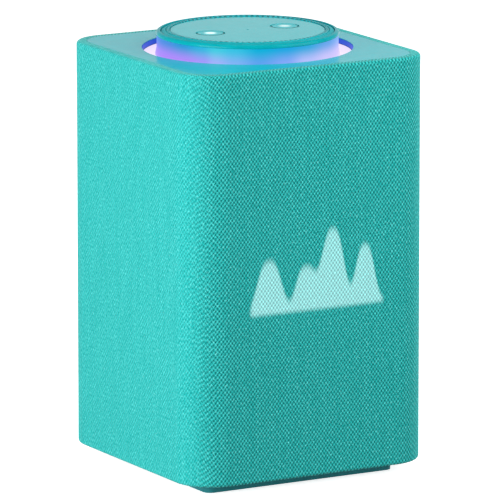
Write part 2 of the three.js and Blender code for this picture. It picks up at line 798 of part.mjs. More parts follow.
function addDial() {
  const flangeTop = dialTop - rimDepth - gap;
  const webTop = dialTop - rimDepth + 0.8;
  const toothReach = 0.8 * gearModule;
  const ringRoot = ringPitch + gearModule;

  const gearOutline = new THREE.Shape().absarc(0, 0, carrierOuter, 0, 2 * Math.PI);
  const toothPhase = Math.PI / 2 + Math.PI / ringTeeth;
  gearOutline.holes.push(toothedOutline(
    ringTeeth, ringPitch - toothReach, ringRoot, 0.28, 0.62, toothPhase, new THREE.Path(),
  ));
  const gear = new THREE.ExtrudeGeometry(
    gearOutline, { depth: gearHeight, bevelEnabled: false, curveSegments: roundSegments / 2 },
  ).translate(0, 0, carrierBottom);
  const tube = turned([
    [carrierOuter - 2, carrierBottom + gearHeight - 0.5], [carrierOuter, carrierBottom + gearHeight - 0.5],
    [carrierOuter, flangeTop], [discRadius + 0.5, flangeTop], [discRadius + 0.5, flangeTop - 1.8],
    [carrierOuter - 2, flangeTop - 1.8],
  ]);
  piece('dial_carrier', join([gear, tube]), colours.gear, 0.5);

  const rim = turned([
    [discRadius + 0.5, dialTop - rimDepth], [rimRadius, dialTop - rimDepth],
    [rimRadius, dialTop - 0.9], [rimRadius - 0.3, dialTop - 0.3], [rimRadius - 0.9, dialTop],
    [rimInner, dialTop], [rimInner, webTop], [discRadius + 0.5, webTop],
  ]);
  piece('dial_rim', rim, colours.rim, 0.3, 0.1);
  const inlayBottom = webTop + gap;
  const inlay = ring(inlayInner, rimInner - gap, inlayBottom, dialTop - 0.2);
  piece('dial_light_inlay', inlay, colours.lit, 0.4);
  const grip = turned([
    [discRadius + 0.4, inlayBottom], [gripOuter, inlayBottom], [gripOuter, dialTop - 1],
    [discRadius + 1, dialTop], [discRadius + 0.4, dialTop],
  ]);
  piece('dial_grip_ring', grip, colours.rim, 0.35);

  const encoderBottom = deckTop + gap;
  const encoderTop = encoderBottom + encoderHeight;
  const shaftRadius = 2.5;
  const shaftBore = disc(shaftRadius + gap, encoderBottom + 2, encoderTop + 1, smallSegments);
  const housing = cut(block(
    -encoderHalf, encoderHalf, encoderY - encoderFront, encoderY + encoderHalf, encoderBottom, encoderTop,
  ), [shaftBore.translate(0, encoderY, 0)]);
  piece('encoder_body', housing, colours.steel, 0.4, 0.5);

  const pinionOutline = toothedOutline(
    pinionTeeth, pinionPitch + toothReach, pinionPitch - gearModule, 0.24, 0.56,
    Math.PI / 2, new THREE.Shape(),
  );
  const pinionTeethPrism = prism(pinionOutline, carrierBottom + gap, carrierBottom + gearHeight - gap);
  const shaft = disc(shaftRadius, encoderBottom + 2 + gap, carrierBottom + 1, smallSegments);
  const pinion = piece('encoder_pinion', join([pinionTeethPrism, shaft]), colours.gear, 0.5);
  pinion.position.y = encoderY;
}

addSleeve();
addCabinet(addBase());
addDrivers();
addDisplay();
addElectronics();
addTop();

export default speaker;
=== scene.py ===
"""A cloth-covered tower speaker with a lit rotary dial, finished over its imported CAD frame."""

from math import atan2, cos, pi, radians, sin, tau

import bmesh
import bpy
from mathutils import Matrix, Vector


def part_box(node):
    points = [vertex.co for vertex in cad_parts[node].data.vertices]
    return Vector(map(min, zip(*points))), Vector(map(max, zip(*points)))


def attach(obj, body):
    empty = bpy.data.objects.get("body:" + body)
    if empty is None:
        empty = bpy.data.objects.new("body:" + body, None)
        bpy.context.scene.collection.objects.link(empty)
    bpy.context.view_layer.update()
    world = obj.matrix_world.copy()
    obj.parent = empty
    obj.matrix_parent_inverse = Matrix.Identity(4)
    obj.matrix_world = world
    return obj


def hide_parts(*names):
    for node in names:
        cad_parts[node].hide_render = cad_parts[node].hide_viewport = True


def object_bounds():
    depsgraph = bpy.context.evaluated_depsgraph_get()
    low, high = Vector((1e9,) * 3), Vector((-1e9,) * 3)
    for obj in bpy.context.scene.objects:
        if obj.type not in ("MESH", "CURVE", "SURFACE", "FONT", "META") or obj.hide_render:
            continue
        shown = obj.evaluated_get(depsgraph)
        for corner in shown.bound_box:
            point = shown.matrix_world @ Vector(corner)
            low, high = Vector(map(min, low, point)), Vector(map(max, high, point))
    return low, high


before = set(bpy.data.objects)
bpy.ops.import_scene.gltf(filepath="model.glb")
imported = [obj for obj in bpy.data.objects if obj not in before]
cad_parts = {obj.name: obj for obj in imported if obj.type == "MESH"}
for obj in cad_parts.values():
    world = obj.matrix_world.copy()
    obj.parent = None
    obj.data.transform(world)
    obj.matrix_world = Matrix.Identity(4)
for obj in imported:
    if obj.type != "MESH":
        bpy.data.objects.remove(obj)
cad_low, cad_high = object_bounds()


# Rubber foot -----------------------------------------------------------------------------------
# A square pad of moulded rubber glued under the base plate. Its lower edge is rounded, and shallow
# moulded grooves on the underside keep it from sticking to a lacquered shelf.

MM = 0.001
FOOT_CORNER = 4.7 * MM
FOOT_EDGE = 0.25 * MM
FOOT_BORDER = 3 * MM
FOOT_PADS = 9
PAD_GROOVE = 1.4 * MM
PAD_RISE = 0.6 * MM


def linear(code):
    """An sRGB hex colour as linear red, green, blue and alpha."""
    parts = [int(code[i : i + 2], 16) / 255 for i in (1, 3, 5)]
    return [p / 12.92 if p <= 0.04045 else ((p + 0.055) / 1.055) ** 2.4 for p in parts] + [1.0]


def set_inputs(node, inputs):
    """Sets a node's inputs, given by name or number, or in order. Each is a value, a hex colour, or the
    output that feeds it."""
    for key, value in inputs.items() if isinstance(inputs, dict) else enumerate(inputs):
        if isinstance(value, bpy.types.NodeSocket):
            node.id_data.links.new(value, node.inputs[key])
        else:
            node.inputs[key].default_value = linear(value) if isinstance(value, str) else value


def add_node(tree, kind, inputs=(), output=0, **settings):
    """Adds a node with its settings and inputs, and returns one of its outputs."""
    node = tree.nodes.new(f"ShaderNode{kind}")
    for key, value in settings.items():
        setattr(node, key, value)
    set_inputs(node, inputs)
    return node.outputs[output]


# A Mix node of colours takes its factor at socket 0 and its colours at 6 and 7, and gives their mix at 2.
COLOURS = {"output": 2, "data_type": "RGBA"}
SMOOTH = {"interpolation_type": "SMOOTHSTEP"}


def new_finish(name, inputs):
    """A material holding one Principled shader with these inputs. Returns the material, tree and shader."""
    material = bpy.data.materials.new(name)
    material.use_nodes = True
    tree = material.node_tree
    shader = tree.nodes["Principled BSDF"]
    set_inputs(shader, inputs)
    return material, tree, shader


# Noise mostly runs from 0.3 to 0.7, so this is the part that is spread over a range of values.
NOISE_SPREAD = {"From Min": 0.3, "From Max": 0.7}
MOTTLE, RUB = 9 * MM, 4 * MM


def scatter(tree, size, detail=2.0, stretch=(1, 1, 1)):
    """Noise over the object's own space with blobs of this size in metres."""
    place = add_node(tree, "TexCoord", output="Object")
    spread = add_node(tree, "Mapping", {"Vector": place, "Scale": stretch})
    return add_node(tree, "TexNoise", {"Vector": spread, "Scale": 1 / size, "Detail": detail})


def moulded(name, dark, light, roughness, grain=0.35 * MM, relief=0.012 * MM, **inputs):
    """Injection-moulded plastic or rubber: a spark-eroded grain, faint flow mottling and rubbed patches."""
    material, tree, shader = new_finish(name, inputs)
    mottling = add_node(tree, "MapRange", {"Value": scatter(tree, MOTTLE), **NOISE_SPREAD})
    rubbing = {"Value": scatter(tree, RUB, 3), "To Min": roughness - 0.05, "To Max": roughness + 0.05}
    grains = {"Height": scatter(tree, grain, 1), "Distance": relief, "Strength": 1.0}
    set_inputs(shader, {
        "Base Color": add_node(tree, "Mix", {0: mottling, 6: dark, 7: light}, **COLOURS),
        "Roughness": add_node(tree, "MapRange", {**rubbing, **NOISE_SPREAD}),
        "Normal": add_node(tree, "Bump", grains),
    })
    return material


def clear_selection():
    bpy.ops.object.select_all(action="DESELECT")


def select_only(piece):
    """Selects this piece alone and makes it the active one."""
    clear_selection()
    piece.select_set(True)
    bpy.context.view_layer.objects.active = piece


def start_block(name, low, high):
    """A block between two corners, left in edit mode with its mesh placed and its object at the origin."""
    clear_selection()
    bpy.ops.mesh.primitive_cube_add(size=1)
    block = bpy.context.object
    block.name = block.data.name = name
    low, high = Vector(low), Vector(high)
    block.scale = high - low
    block.location = (low + high) / 2
    bpy.ops.object.transform_apply(location=True, rotation=False, scale=True)
    bpy.ops.object.mode_set(mode="EDIT")
    return block


def pick(piece, kind, test):
    """In edit mode, selects only the faces or edges whose middle and direction pass the test."""
    mesh = bmesh.from_edit_mesh(piece.data)
    bpy.ops.mesh.select_all(action="DESELECT")
    if kind == "faces":
        bpy.ops.mesh.select_mode(type="FACE")
        for face in mesh.faces:
            face.select_set(test(face.calc_center_median(), face.normal))
    else:
        bpy.ops.mesh.select_mode(type="EDGE")
        for edge in mesh.edges:
            first, second = (vert.co for vert in edge.verts)
            edge.select_set(test((first + second) / 2, (second - first).normalized()))
    bmesh.update_edit_mesh(piece.data)


def finish(piece, material, body, stands_for=(), edge=0.0, corner=35):
    """Leaves edit mode, rounds the sharp edges, shades, paints and hangs a piece on its body."""
    if bpy.context.object.mode == "EDIT":
        bpy.ops.object.mode_set(mode="OBJECT")
    select_only(piece)
    if edge:
        bevel = piece.modifiers.new("rounded_edges", "BEVEL")
        bevel.width = edge
        bevel.segments = 3
        bevel.limit_method = "ANGLE"
        bevel.angle_limit = radians(corner)
        bpy.ops.object.modifier_apply(modifier=bevel.name)
    bpy.ops.object.shade_smooth_by_angle(angle=radians(corner))
    even = piece.modifiers.new("flat_faces_stay_flat", "WEIGHTED_NORMAL")
    even.keep_sharp = True
    bpy.ops.object.modifier_apply(modifier=even.name)
    if material:
        piece.data.materials.clear()
        piece.data.materials.append(material)
    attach(piece, body)
    if stands_for:
        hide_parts(*stands_for)
    return piece


# Moulded rubber: matt and a little darker than the cloth, with a low broad shine at its edge.
foot_rubber = moulded(
    "moulded_foot_rubber", "#0a7a81", "#0e868d", 0.62, 0.5 * MM, 0.02 * MM, **{"Specular IOR Level": 0.35}
)
foot_low, foot_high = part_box("rubber_foot")
foot = start_block("rubber_foot_pad", foot_low, foot_high)
pick(foot, "edges", lambda middle, way: abs(way.z) > 0.9)
bpy.ops.mesh.bevel(offset=FOOT_CORNER, segments=8, affect="EDGES")


def on_underside(middle, normal):
    """True for the flat middle of the foot's lower face, inside its rounded border."""
    return normal.z < -0.9 and max(abs(middle.x), abs(middle.y)) < foot_high.x - FOOT_BORDER


pick(foot, "faces", on_underside)
bpy.ops.mesh.inset(thickness=FOOT_BORDER)
for number in range(1, FOOT_PADS):
    pad_edge = foot_low.y + FOOT_BORDER + number * (foot_high.y - foot_low.y - 2 * FOOT_BORDER) / FOOT_PADS
    pick(foot, "faces", on_underside)
    bpy.ops.mesh.bisect(plane_co=(0, pad_edge, 0), plane_no=(0, 1, 0))
pick(foot, "faces", on_underside)
bpy.ops.mesh.inset(thickness=PAD_GROOVE / 2, use_individual=True)
bpy.ops.transform.translate(value=(0, 0, PAD_RISE))
finish(foot, foot_rubber, "chassis", ["rubber_foot"], FOOT_EDGE, 50)


# Base plate, screws, cabinet and decks ----------------------------------------------------------
# Black ABS mouldings with a spark-eroded matt skin: the base plate with its posts, the sealed
# cabinet and lid, the deck and the hub. Zinc-plated steel screws pull the base up to the cabinet.

# ABS from a spark-eroded mould: a dull, even skin with a fine grain. The shell's is dyed deep teal, so
# that nothing black shows between the threads.
black_abs = moulded("moulded_black_abs", "#15191b", "#1b2022", 0.55, 0.45 * MM, 0.02 * MM)
deep_teal_abs = moulded("moulded_deep_teal_abs", "#125b61", "#17686e", 0.55)


def brushed_metal(name, dark, light, roughness, scratch, stretch):
    """Plated or rolled metal with fine lines along one way, from drawing or rolling."""
    material, tree, shader = new_finish(name, {"Metallic": 1.0})
    lines = scatter(tree, scratch, 3, stretch)
    shade = add_node(tree, "MapRange", {"Value": lines, **NOISE_SPREAD})
    rubbing = {"Value": lines, "To Min": roughness - 0.08, "To Max": roughness + 0.08}
    set_inputs(shader, {
        "Base Color": add_node(tree, "Mix", {0: shade, 6: dark, 7: light}, **COLOURS),
        "Roughness": add_node(tree, "MapRange", {**rubbing, **NOISE_SPREAD}),
        "Normal": add_node(tree, "Bump", {"Height": lines, "Distance": 0.004 * MM}),
    })
    return material


# Zinc plate on drawn steel: a cool grey metal with soft lines along the screw.
zinc_steel = brushed_metal("zinc_plated_steel", "#a9adae", "#c2c6c7", 0.35, 0.6 * MM, (1, 1, 0.1))


def paint_node(name, material):
    """Gives a CAD node a better material."""
    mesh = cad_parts[name].data
    mesh.materials.clear()
    mesh.materials.append(material)


for name in ("base_plate", "speaker_cabinet", "cabinet_lid", "upper_deck", "top_hub"):
    paint_node(name, black_abs)
for number in range(1, 5):
    paint_node(f"base_screw_{number}", zinc_steel)


# Drivers ----------------------------------------------------------------------------------------
# Each cone is pressed paper pulp in a rubber half-roll surround, glued to a powder-coated steel
# basket. The passive radiators are painted plates in wide rolls. The tweeters are coated silk domes.

FINE_TURN = 96
CONE_ROLL, RADIATOR_ROLL = 5 * MM, 8.3 * MM
ROLL_FLAT = 0.3 * MM
ROLL_LEVEL = 3.6 * MM
PULP = 0.9 * MM
CONE_FRONT = 3.3 * MM
COIL_WALL = 0.6 * MM
CAP_EDGE = 0.8 * MM
RADIATOR_THICK, RADIATOR_EDGE = 3.5 * MM, 0.8 * MM
RADIATOR_GROOVE = 0.6 * MM
SILK_RADIUS, SILK_FOOT, SILK_EDGE, SILK_RISE = 9 * MM, -1.7 * MM, 1 * MM, 2.8 * MM


def turn(name, profile, segments=FINE_TURN):
    """Turns a profile of (radius, height) points about Z: a circle is extruded and scaled from point to
    point, and closes on its start, or on the axis where a radius is 0. Left in edit mode."""
    nearly = 0.002 * MM
    points = [(max(radius, nearly), height) for radius, height in profile]
    on_axis = points[0][0] == nearly
    clear_selection()
    bpy.ops.mesh.primitive_circle_add(vertices=segments, radius=points[0][0])
    piece = bpy.context.object
    piece.name = piece.data.name = name
    bpy.ops.object.mode_set(mode="EDIT")
    bpy.ops.mesh.select_mode(type="VERT")
    bpy.ops.mesh.select_all(action="SELECT")
    bpy.ops.transform.translate(value=(0, 0, points[0][1]))
    if not on_axis:
        points.append(points[0])
    for (radius, height), (next_radius, next_height) in zip(points, points[1:]):
        rise = (0, 0, next_height - height)
        bpy.ops.mesh.extrude_region_move(TRANSFORM_OT_translate={"value": rise})
        ratio = next_radius / radius
        bpy.ops.transform.resize(value=(ratio, ratio, 1), center_override=(0, 0, next_height))
    bpy.ops.mesh.select_all(action="SELECT")
    bpy.ops.mesh.remove_doubles(threshold=0.005 * MM)
    bpy.ops.mesh.normals_make_consistent(inside=False)
    return piece


def arc(centre, radius, start, end, steps):
    """Points of (radius, height) along an arc, with angles in degrees from the outward direction."""
    points = []
    for step in range(steps + 1):
        angle = radians(start + (end - start) * step / steps)
        points.append((centre[0] + radius * cos(angle), centre[1] + radius * sin(angle)))
    return points


def face_towards(piece, place, way):
    """Turns a piece made along +Z to point along way, and moves it to its place, all in its mesh."""
    if bpy.context.object.mode == "EDIT":
        bpy.ops.object.mode_set(mode="OBJECT")
    piece.rotation_mode = "QUATERNION"
    piece.rotation_quaternion = Vector(way).to_track_quat("Z", "Y")
    piece.location = place
    select_only(piece)
    bpy.ops.object.transform_apply(location=True, rotation=True, scale=True)


# Nitrile rubber: soot black and matt, smooth from a polished mould.
driver_rubber = moulded("moulded_nitrile_rubber", "#0e0f10", "#151617", 0.7, 0.3 * MM, 0.01 * MM)
# Baked powder coat: black with a half shine, broken up by a slight orange peel.
powder_coat = moulded("black_powder_coat", "#121314", "#1a1c1d", 0.5, 0.25 * MM, 0.02 * MM)
# Sintered and ground ferrite: a dark grey stone with a dull face.
ferrite = moulded("bare_ferrite", "#2b2d2f", "#36393b", 0.6, 0.3 * MM, 0.02 * MM)
# Satin paint: black and smooth, with a soft reflection of the lights.
radiator_paint = moulded("satin_black_paint", "#17191a", "#1e2122", 0.35, 0.6 * MM, 0.004 * MM)
# Pressed pulp: very matt and faintly felted, from the screen that it dries on.
cone_pulp = moulded("pressed_paper_pulp", "#1b1d1f", "#26292b", 0.8, 0.9 * MM, 0.05 * MM)
# Cotton dipped in phenolic resin: amber brown, matt and woven.
resin_cloth = moulded("resin_dipped_cotton", "#8a5526", "#a86e35", 0.85, 0.5 * MM, 0.05 * MM)
# Silk with a brushed-on damping coat: near black, with a broad soft highlight on the dome.
coated_silk = moulded("coated_silk", "#1a1b1c", "#222425", 0.45, 0.3 * MM, 0.02 * MM)

paint_node("woofer_basket", powder_coat)
paint_node("woofer_magnet", ferrite)
paint_node("woofer_spider", resin_cloth)
for side in ("left", "right"):
    paint_node(f"{side}_mid_basket", powder_coat)


def middle_of(name):
    """The middle of a CAD node's box."""
    low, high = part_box(name)
    return (low + high) / 2


def dome_profile(radius, foot, edge, rise):
    """A domed cap: a flat foot, an upright edge of this height, and a quarter of an ellipse over it."""
    arch = [
        (radius * cos(radians(angle)), foot + edge + rise * sin(radians(angle)))
        for angle in range(0, 91, 10)
    ]
    return [(0, foot), (radius, foot), *arch]


def roll_profile(inner, outer, lip, level, thickness):
    """A half-roll surround: a flat inner edge, the roll, and the glued lip."""
    centre = (inner + outer) / 2
    reach = (outer - inner) / 2 - ROLL_FLAT
    upper = arc((centre, level + thickness), reach, 180, 0, 12)
    lower = arc((centre, level), reach - thickness, 0, 180, 12)
    top = [(inner, level + thickness), *upper, (lip, level + thickness)]
    return [*top, (lip, level), *lower, (inner, level)]


def make_cone_driver(prefix, body, place, way, rubber, cone_edge, lip, coil, depth):
    """Surround and cone of a driver whose mounting face is at place and which plays along way. The cone's
    neck lies at 0.6 of the driver's depth, and its flank bows outwards by 0.12 of it."""
    roll_inner = cone_edge + ROLL_FLAT
    surround = turn(
        f"{prefix}_rubber_roll", roll_profile(roll_inner, roll_inner + CONE_ROLL, lip, ROLL_LEVEL, rubber)
    )
    face_towards(surround, place, way)
    finish(surround, driver_rubber, "chassis", [f"{prefix}_surround"])

    neck = -0.6 * depth
    flare = []
    for step in range(9):
        share = step / 8
        radius = cone_edge + (coil - cone_edge) * share
        bow = 0.12 * depth * sin(pi * share)
        flare.append((radius, CONE_FRONT + PULP + (neck - CONE_FRONT) * share + bow))
    under = [(radius, height - PULP) for radius, height in reversed(flare)]
    hollow = [(coil - COIL_WALL, neck + PULP), (coil - COIL_WALL, neck)]
    cone = turn(f"{prefix}_paper_cone", [*flare, *hollow, *under])
    face_towards(cone, place, way)
    finish(cone, cone_pulp, body, [f"{prefix}_cone"])


cabinet_low, cabinet_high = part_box("speaker_cabinet")
driver_y = middle_of("woofer_basket").y
woofer_face = Vector((0, driver_y, cabinet_low.z))
make_cone_driver(
    "woofer", "woofer_moving", woofer_face, (0, 0, -1),
    rubber=0.8 * MM, cone_edge=33 * MM, lip=44 * MM, coil=12 * MM, depth=20 * MM,
)
cap_low, cap_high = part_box("woofer_dust_cap")
cap_radius = (cap_high.x - cap_low.x) / 2
cap_foot = woofer_face.z - cap_high.z
cap_rise = cap_high.z - cap_low.z - CAP_EDGE
woofer_cap = turn("woofer_cap", dome_profile(cap_radius, cap_foot, CAP_EDGE, cap_rise))
face_towards(woofer_cap, woofer_face, (0, 0, -1))
finish(woofer_cap, cone_pulp, "woofer_moving", ["woofer_dust_cap"])

mid_coil, mid_depth = 5 * MM, 11 * MM
for side, sign in (("left", -1), ("right", 1)):
    way = (sign, 0, 0)
    mid_face = Vector((sign * cabinet_high.x, driver_y, middle_of(f"{side}_mid_basket").z))
    make_cone_driver(
        f"{side}_mid", f"{side}_mid_moving", mid_face, way,
        rubber=0.5 * MM, cone_edge=12 * MM, lip=18.5 * MM, coil=mid_coil, depth=mid_depth,
    )
    mid_dome = arc((0, PULP - 0.6 * mid_depth - 0.2 * mid_coil), 1.02 * mid_coil, 62, 90, 6)
    dome_radius, dome_foot = mid_dome[0]
    dome_foot -= COIL_WALL
    dust_cap = turn(f"{side}_mid_dust_cap", [(0, dome_foot), (dome_radius, dome_foot), *mid_dome])
    face_towards(dust_cap, mid_face, way)
    finish(dust_cap, cone_pulp, f"{side}_mid_moving")

    plate_low, plate_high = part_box(f"{side}_radiator")
    radiator_place = Vector((sign * cabinet_high.x, driver_y, (plate_low.z + plate_high.z) / 2))
    plate_radius = (plate_high.z - plate_low.z) / 2
    groove_inner, groove_outer = 9 * MM, 15 * MM
    groove_floor = RADIATOR_THICK - RADIATOR_GROOVE
    radiator = turn(f"{side}_radiator_plate", [
        (0, 0), (plate_radius - RADIATOR_EDGE, 0), (plate_radius, RADIATOR_EDGE),
        (plate_radius, RADIATOR_THICK - RADIATOR_EDGE), (plate_radius - RADIATOR_EDGE, RADIATOR_THICK),
        (groove_outer, RADIATOR_THICK), (groove_outer - RADIATOR_GROOVE, groove_floor),
        (groove_inner + RADIATOR_GROOVE, groove_floor), (groove_inner, RADIATOR_THICK), (0, RADIATOR_THICK),
    ])
    face_towards(radiator, radiator_place, way)
    finish(radiator, radiator_paint, f"{side}_radiator_moving", [f"{side}_radiator"])
    roll_inner = plate_radius + ROLL_FLAT
    roll = turn(f"{side}_radiator_roll", roll_profile(
        roll_inner, roll_inner + RADIATOR_ROLL, lip=37 * MM, level=0.3 * MM, thickness=1.2 * MM
    ))
    face_towards(roll, radiator_place, way)
    finish(roll, driver_rubber, "chassis", [f"{side}_radiator_surround"])

    tweeter_place = middle_of(f"{side}_tweeter")
    tweeter_place.y = cabinet_low.y
    barrel, flange, horn = 10.5 * MM, 15 * MM, 9.3 * MM
    flange_back, flange_front = 0.3 * MM, 2.3 * MM
    housing = turn(f"{side}_tweeter_housing", [
        (0, -10 * MM), (barrel, -10 * MM), (barrel, flange_back), (flange, flange_back),
        (flange, flange_front - 0.3 * MM), (flange - 0.4 * MM, flange_front),
        (horn + 2.1 * MM, flange_front), (horn + 0.9 * MM, 1.4 * MM), (horn, 0.4 * MM),
        (horn, -2 * MM), (0, -2 * MM),
    ])
    face_towards(housing, tweeter_place, (0, -1, 0))
    finish(housing, black_abs, "chassis", [f"{side}_tweeter"])
    silk_dome = turn(f"{side}_silk_dome", dome_profile(SILK_RADIUS, SILK_FOOT, SILK_EDGE, SILK_RISE))
    face_towards(silk_dome, tweeter_place, (0, -1, 0))
    finish(silk_dome, coated_silk, "chassis", [f"{side}_tweeter_dome"])


# Display ----------------------------------------------------------------------------------------
# A glass-fibre lamp board behind a white moulded light grid, one cell to a lamp, with a thin diffusing film
# on the front. Its lit shape is painted on the cloth's front as a glow: painted light.

CELLS_ACROSS, CELLS_UP = 25, 16
CELL_RIB, CELL_DEPTH = 0.7 * MM, 4 * MM
GRID_BORDER = 2 * MM

# Solder resist over copper: a satin green film, faintly uneven over the tracks.
board_green = moulded("green_solder_resist", "#0d4a2a", "#115834", 0.4, 0.5 * MM, 0.01 * MM)
# White ABS: matt and slightly warm, so that each cell throws its lamp's light forward.
white_abs = moulded("moulded_white_abs", "#dfe6e6", "#eef3f3", 0.5)

for name in ("display_board", "main_board", "port_board", "light_ring_board", "top_board"):
    paint_node(name, board_green)

grid_low, grid_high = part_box("display_light_grid")
light_grid = start_block("display_cell_grid", grid_low, grid_high)
cell = (grid_high.x - grid_low.x - 2 * GRID_BORDER) / CELLS_ACROSS
for column in range(CELLS_ACROSS + 1):
    bpy.ops.mesh.select_all(action="SELECT")
    bpy.ops.mesh.bisect(plane_co=(grid_low.x + GRID_BORDER + column * cell, 0, 0), plane_no=(1, 0, 0))
for row in range(CELLS_UP + 1):
    bpy.ops.mesh.select_all(action="SELECT")
    bpy.ops.mesh.bisect(plane_co=(0, 0, grid_low.z + GRID_BORDER + row * cell), plane_no=(0, 0, 1))
pick(light_grid, "faces", lambda middle, normal: (
    normal.y < -0.9 and grid_low.x + GRID_BORDER < middle.x < grid_high.x - GRID_BORDER
    and grid_low.z + GRID_BORDER < middle.z < grid_high.z - GRID_BORDER
))
bpy.ops.mesh.inset(thickness=CELL_RIB / 2, use_individual=True)
bpy.ops.mesh.extrude_region_move(TRANSFORM_OT_translate={"value": (0, CELL_DEPTH, 0)})
finish(light_grid, white_abs, "chassis", ["display_light_grid"])

# Each peak is its centre, height and width in millimetres. The larger the roundness, the steeper the
# flanks.
SPECTRUM_PEAKS = ((-27.5, 26.4, 8.7), (-6.1, 21.6, 7.1), (9.8, 39.8, 8.2), (28.9, 29.7, 6.8))
PEAK_ROUNDNESS = 2.7
SPECTRUM_BASE = 94.6 * MM
SPECTRUM_LEFT, SPECTRUM_RIGHT = -38.3 * MM, 39.6 * MM
SPECTRUM_SOFT = 2.9 * MM


def glow_of_spectrum(tree, across, up):
    """A sound spectrum as light: 1 under a row of bell-shaped peaks, 0 over them, with a soft edge."""
    total = SPECTRUM_BASE
    for centre, height, width in SPECTRUM_PEAKS:
        away = add_node(tree, "Math", (across, centre * MM), operation="SUBTRACT")
        away = add_node(tree, "Math", (away,), operation="ABSOLUTE")
        away = add_node(tree, "Math", (away, width * MM), operation="DIVIDE")
        fall = add_node(tree, "Math", (away, PEAK_ROUNDNESS), operation="POWER")
        fall = add_node(tree, "Math", (fall, -1.0), operation="MULTIPLY")
        bell = add_node(tree, "Math", (fall,), operation="EXPONENT")
        total = add_node(tree, "Math", (bell, height * MM, total), operation="MULTIPLY_ADD")
    under = add_node(tree, "Math", (total, up), operation="SUBTRACT")
    light = 1.0
    for measured, low, high in (
        (under, -SPECTRUM_SOFT, SPECTRUM_SOFT),
        (up, SPECTRUM_BASE - SPECTRUM_SOFT, SPECTRUM_BASE + 0.2 * SPECTRUM_SOFT),
        (across, SPECTRUM_LEFT - 0.5 * SPECTRUM_SOFT, SPECTRUM_LEFT + 0.5 * SPECTRUM_SOFT),
        (across, SPECTRUM_RIGHT + 0.5 * SPECTRUM_SOFT, SPECTRUM_RIGHT - 0.5 * SPECTRUM_SOFT),
    ):
        edge = {"Value": measured, "From Min": low, "From Max": high}
        step = add_node(tree, "MapRange", edge, **SMOOTH)
        light = add_node(tree, "Math", (step, light), operation="MULTIPLY")
    return light


# Polyester film with a matt side: it spreads the lamps' light, so that the lit shape has soft edges.
film, film_tree, film_shader = new_finish("lit_diffusing_film", {"Roughness": 0.4, "Emission Strength": 1.0})
film_place = add_node(film_tree, "TexCoord", output="Object")
film_axes = add_node(film_tree, "SeparateXYZ", (film_place,)).node.outputs
film_light = glow_of_spectrum(film_tree, film_axes["X"], film_axes["Z"])
for socket, unlit, lit in (("Base Color", "#26383b", "#cdf6f4"), ("Emission Color", "#04090a", "#a8f0ee")):
    film_colour = add_node(film_tree, "Mix", {0: film_light, 6: unlit, 7: lit}, **COLOURS)
    set_inputs(film_shader, {socket: film_colour})
paint_node("display_diffuser", film)


# Electronics at the back ------------------------------------------------------------------------
# An extruded aluminium heat sink on the main board, and plated or moulded sockets on a port board,
# whose noses stand in a black panel low at the back.

CONTACTS, CONTACT_PITCH = 8, 1.02 * MM
CONTACT_WIDTH, CONTACT_THICK = 0.4 * MM, 0.4 * MM
CONTACT_BACK, CONTACT_FRONT = 9 * MM, 3 * MM
CONTACT_LEVEL = 9 * MM
TONGUE_WIDTH, TONGUE_THICK = 10.8 * MM, 1 * MM
TONGUE_BACK, TONGUE_FRONT = 9.7 * MM, 2 * MM
PIN_LENGTH, PIN_RADIUS, PIN_AXIS = 8.5 * MM, 0.8 * MM, 5 * MM
PIN_TURN = 24

# Extruded aluminium: bright grey, with fine die lines up the fins.
cast_aluminium = brushed_metal("extruded_aluminium", "#9da1a4", "#b9bdbf", 0.38, 0.5 * MM, (1, 1, 0.05))
# Nickel plate on folded steel: a warm bright grey, rubbed along the sheet's grain.
nickel_shell = brushed_metal("nickel_plated_shell", "#a5a8a8", "#bfc2c2", 0.25, 0.8 * MM, (1, 0.2, 1))
paint_node("amplifier_heat_sink", cast_aluminium)
for name in ("ethernet_socket", "hdmi_socket", "encoder_body", "left_button_switch", "right_button_switch"):
    paint_node(name, nickel_shell)
for name in ("port_panel", "power_inlet", "audio_jack"):
    paint_node(name, black_abs)

# Gold flash on bronze springs: a small warm glint deep in each socket.
gold = brushed_metal("gold_plated_contacts", "#c79a45", "#dcb25c", 0.25, 0.3 * MM, (1, 0.2, 1))
ethernet_low, ethernet_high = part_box("ethernet_socket")
ethernet_x = middle_of("ethernet_socket").x
contact_z = ethernet_low.z + CONTACT_LEVEL
for number in range(CONTACTS):
    contact_x = ethernet_x + (number - (CONTACTS - 1) / 2) * CONTACT_PITCH
    contact = start_block(
        f"ethernet_contact_{number + 1}",
        (contact_x - CONTACT_WIDTH / 2, ethernet_high.y - CONTACT_BACK, contact_z - CONTACT_THICK),
        (contact_x + CONTACT_WIDTH / 2, ethernet_high.y - CONTACT_FRONT, contact_z),
    )
    bpy.ops.mesh.select_all(action="SELECT")
    bpy.ops.transform.rotate(
        value=radians(14), orient_axis="X",
        center_override=(contact_x, ethernet_high.y - CONTACT_BACK, contact_z),
    )
    finish(contact, gold, "chassis", edge=0.05 * MM)

video_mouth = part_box("hdmi_socket")[1].y
video_middle = middle_of("hdmi_socket")
tongue = start_block(
    "hdmi_tongue",
    (video_middle.x - TONGUE_WIDTH / 2, video_mouth - TONGUE_BACK, video_middle.z - TONGUE_THICK / 2),
    (video_middle.x + TONGUE_WIDTH / 2, video_mouth - TONGUE_FRONT, video_middle.z + TONGUE_THICK / 2),
)
finish(tongue, black_abs, "chassis", edge=0.2 * MM)

inlet_low, inlet_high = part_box("power_inlet")
inlet_pin = turn("power_pin", [
    (0, -PIN_LENGTH), (PIN_RADIUS, -PIN_LENGTH), (PIN_RADIUS, -1.6 * MM),
    (PIN_RADIUS - 0.3 * MM, -1.1 * MM), (0, -1 * MM),
], PIN_TURN)
inlet_place = Vector((middle_of("power_inlet").x, inlet_high.y, inlet_low.z + PIN_AXIS))
face_towards(inlet_pin, inlet_place, (0, 1, 0))
finish(inlet_pin, gold, "chassis")
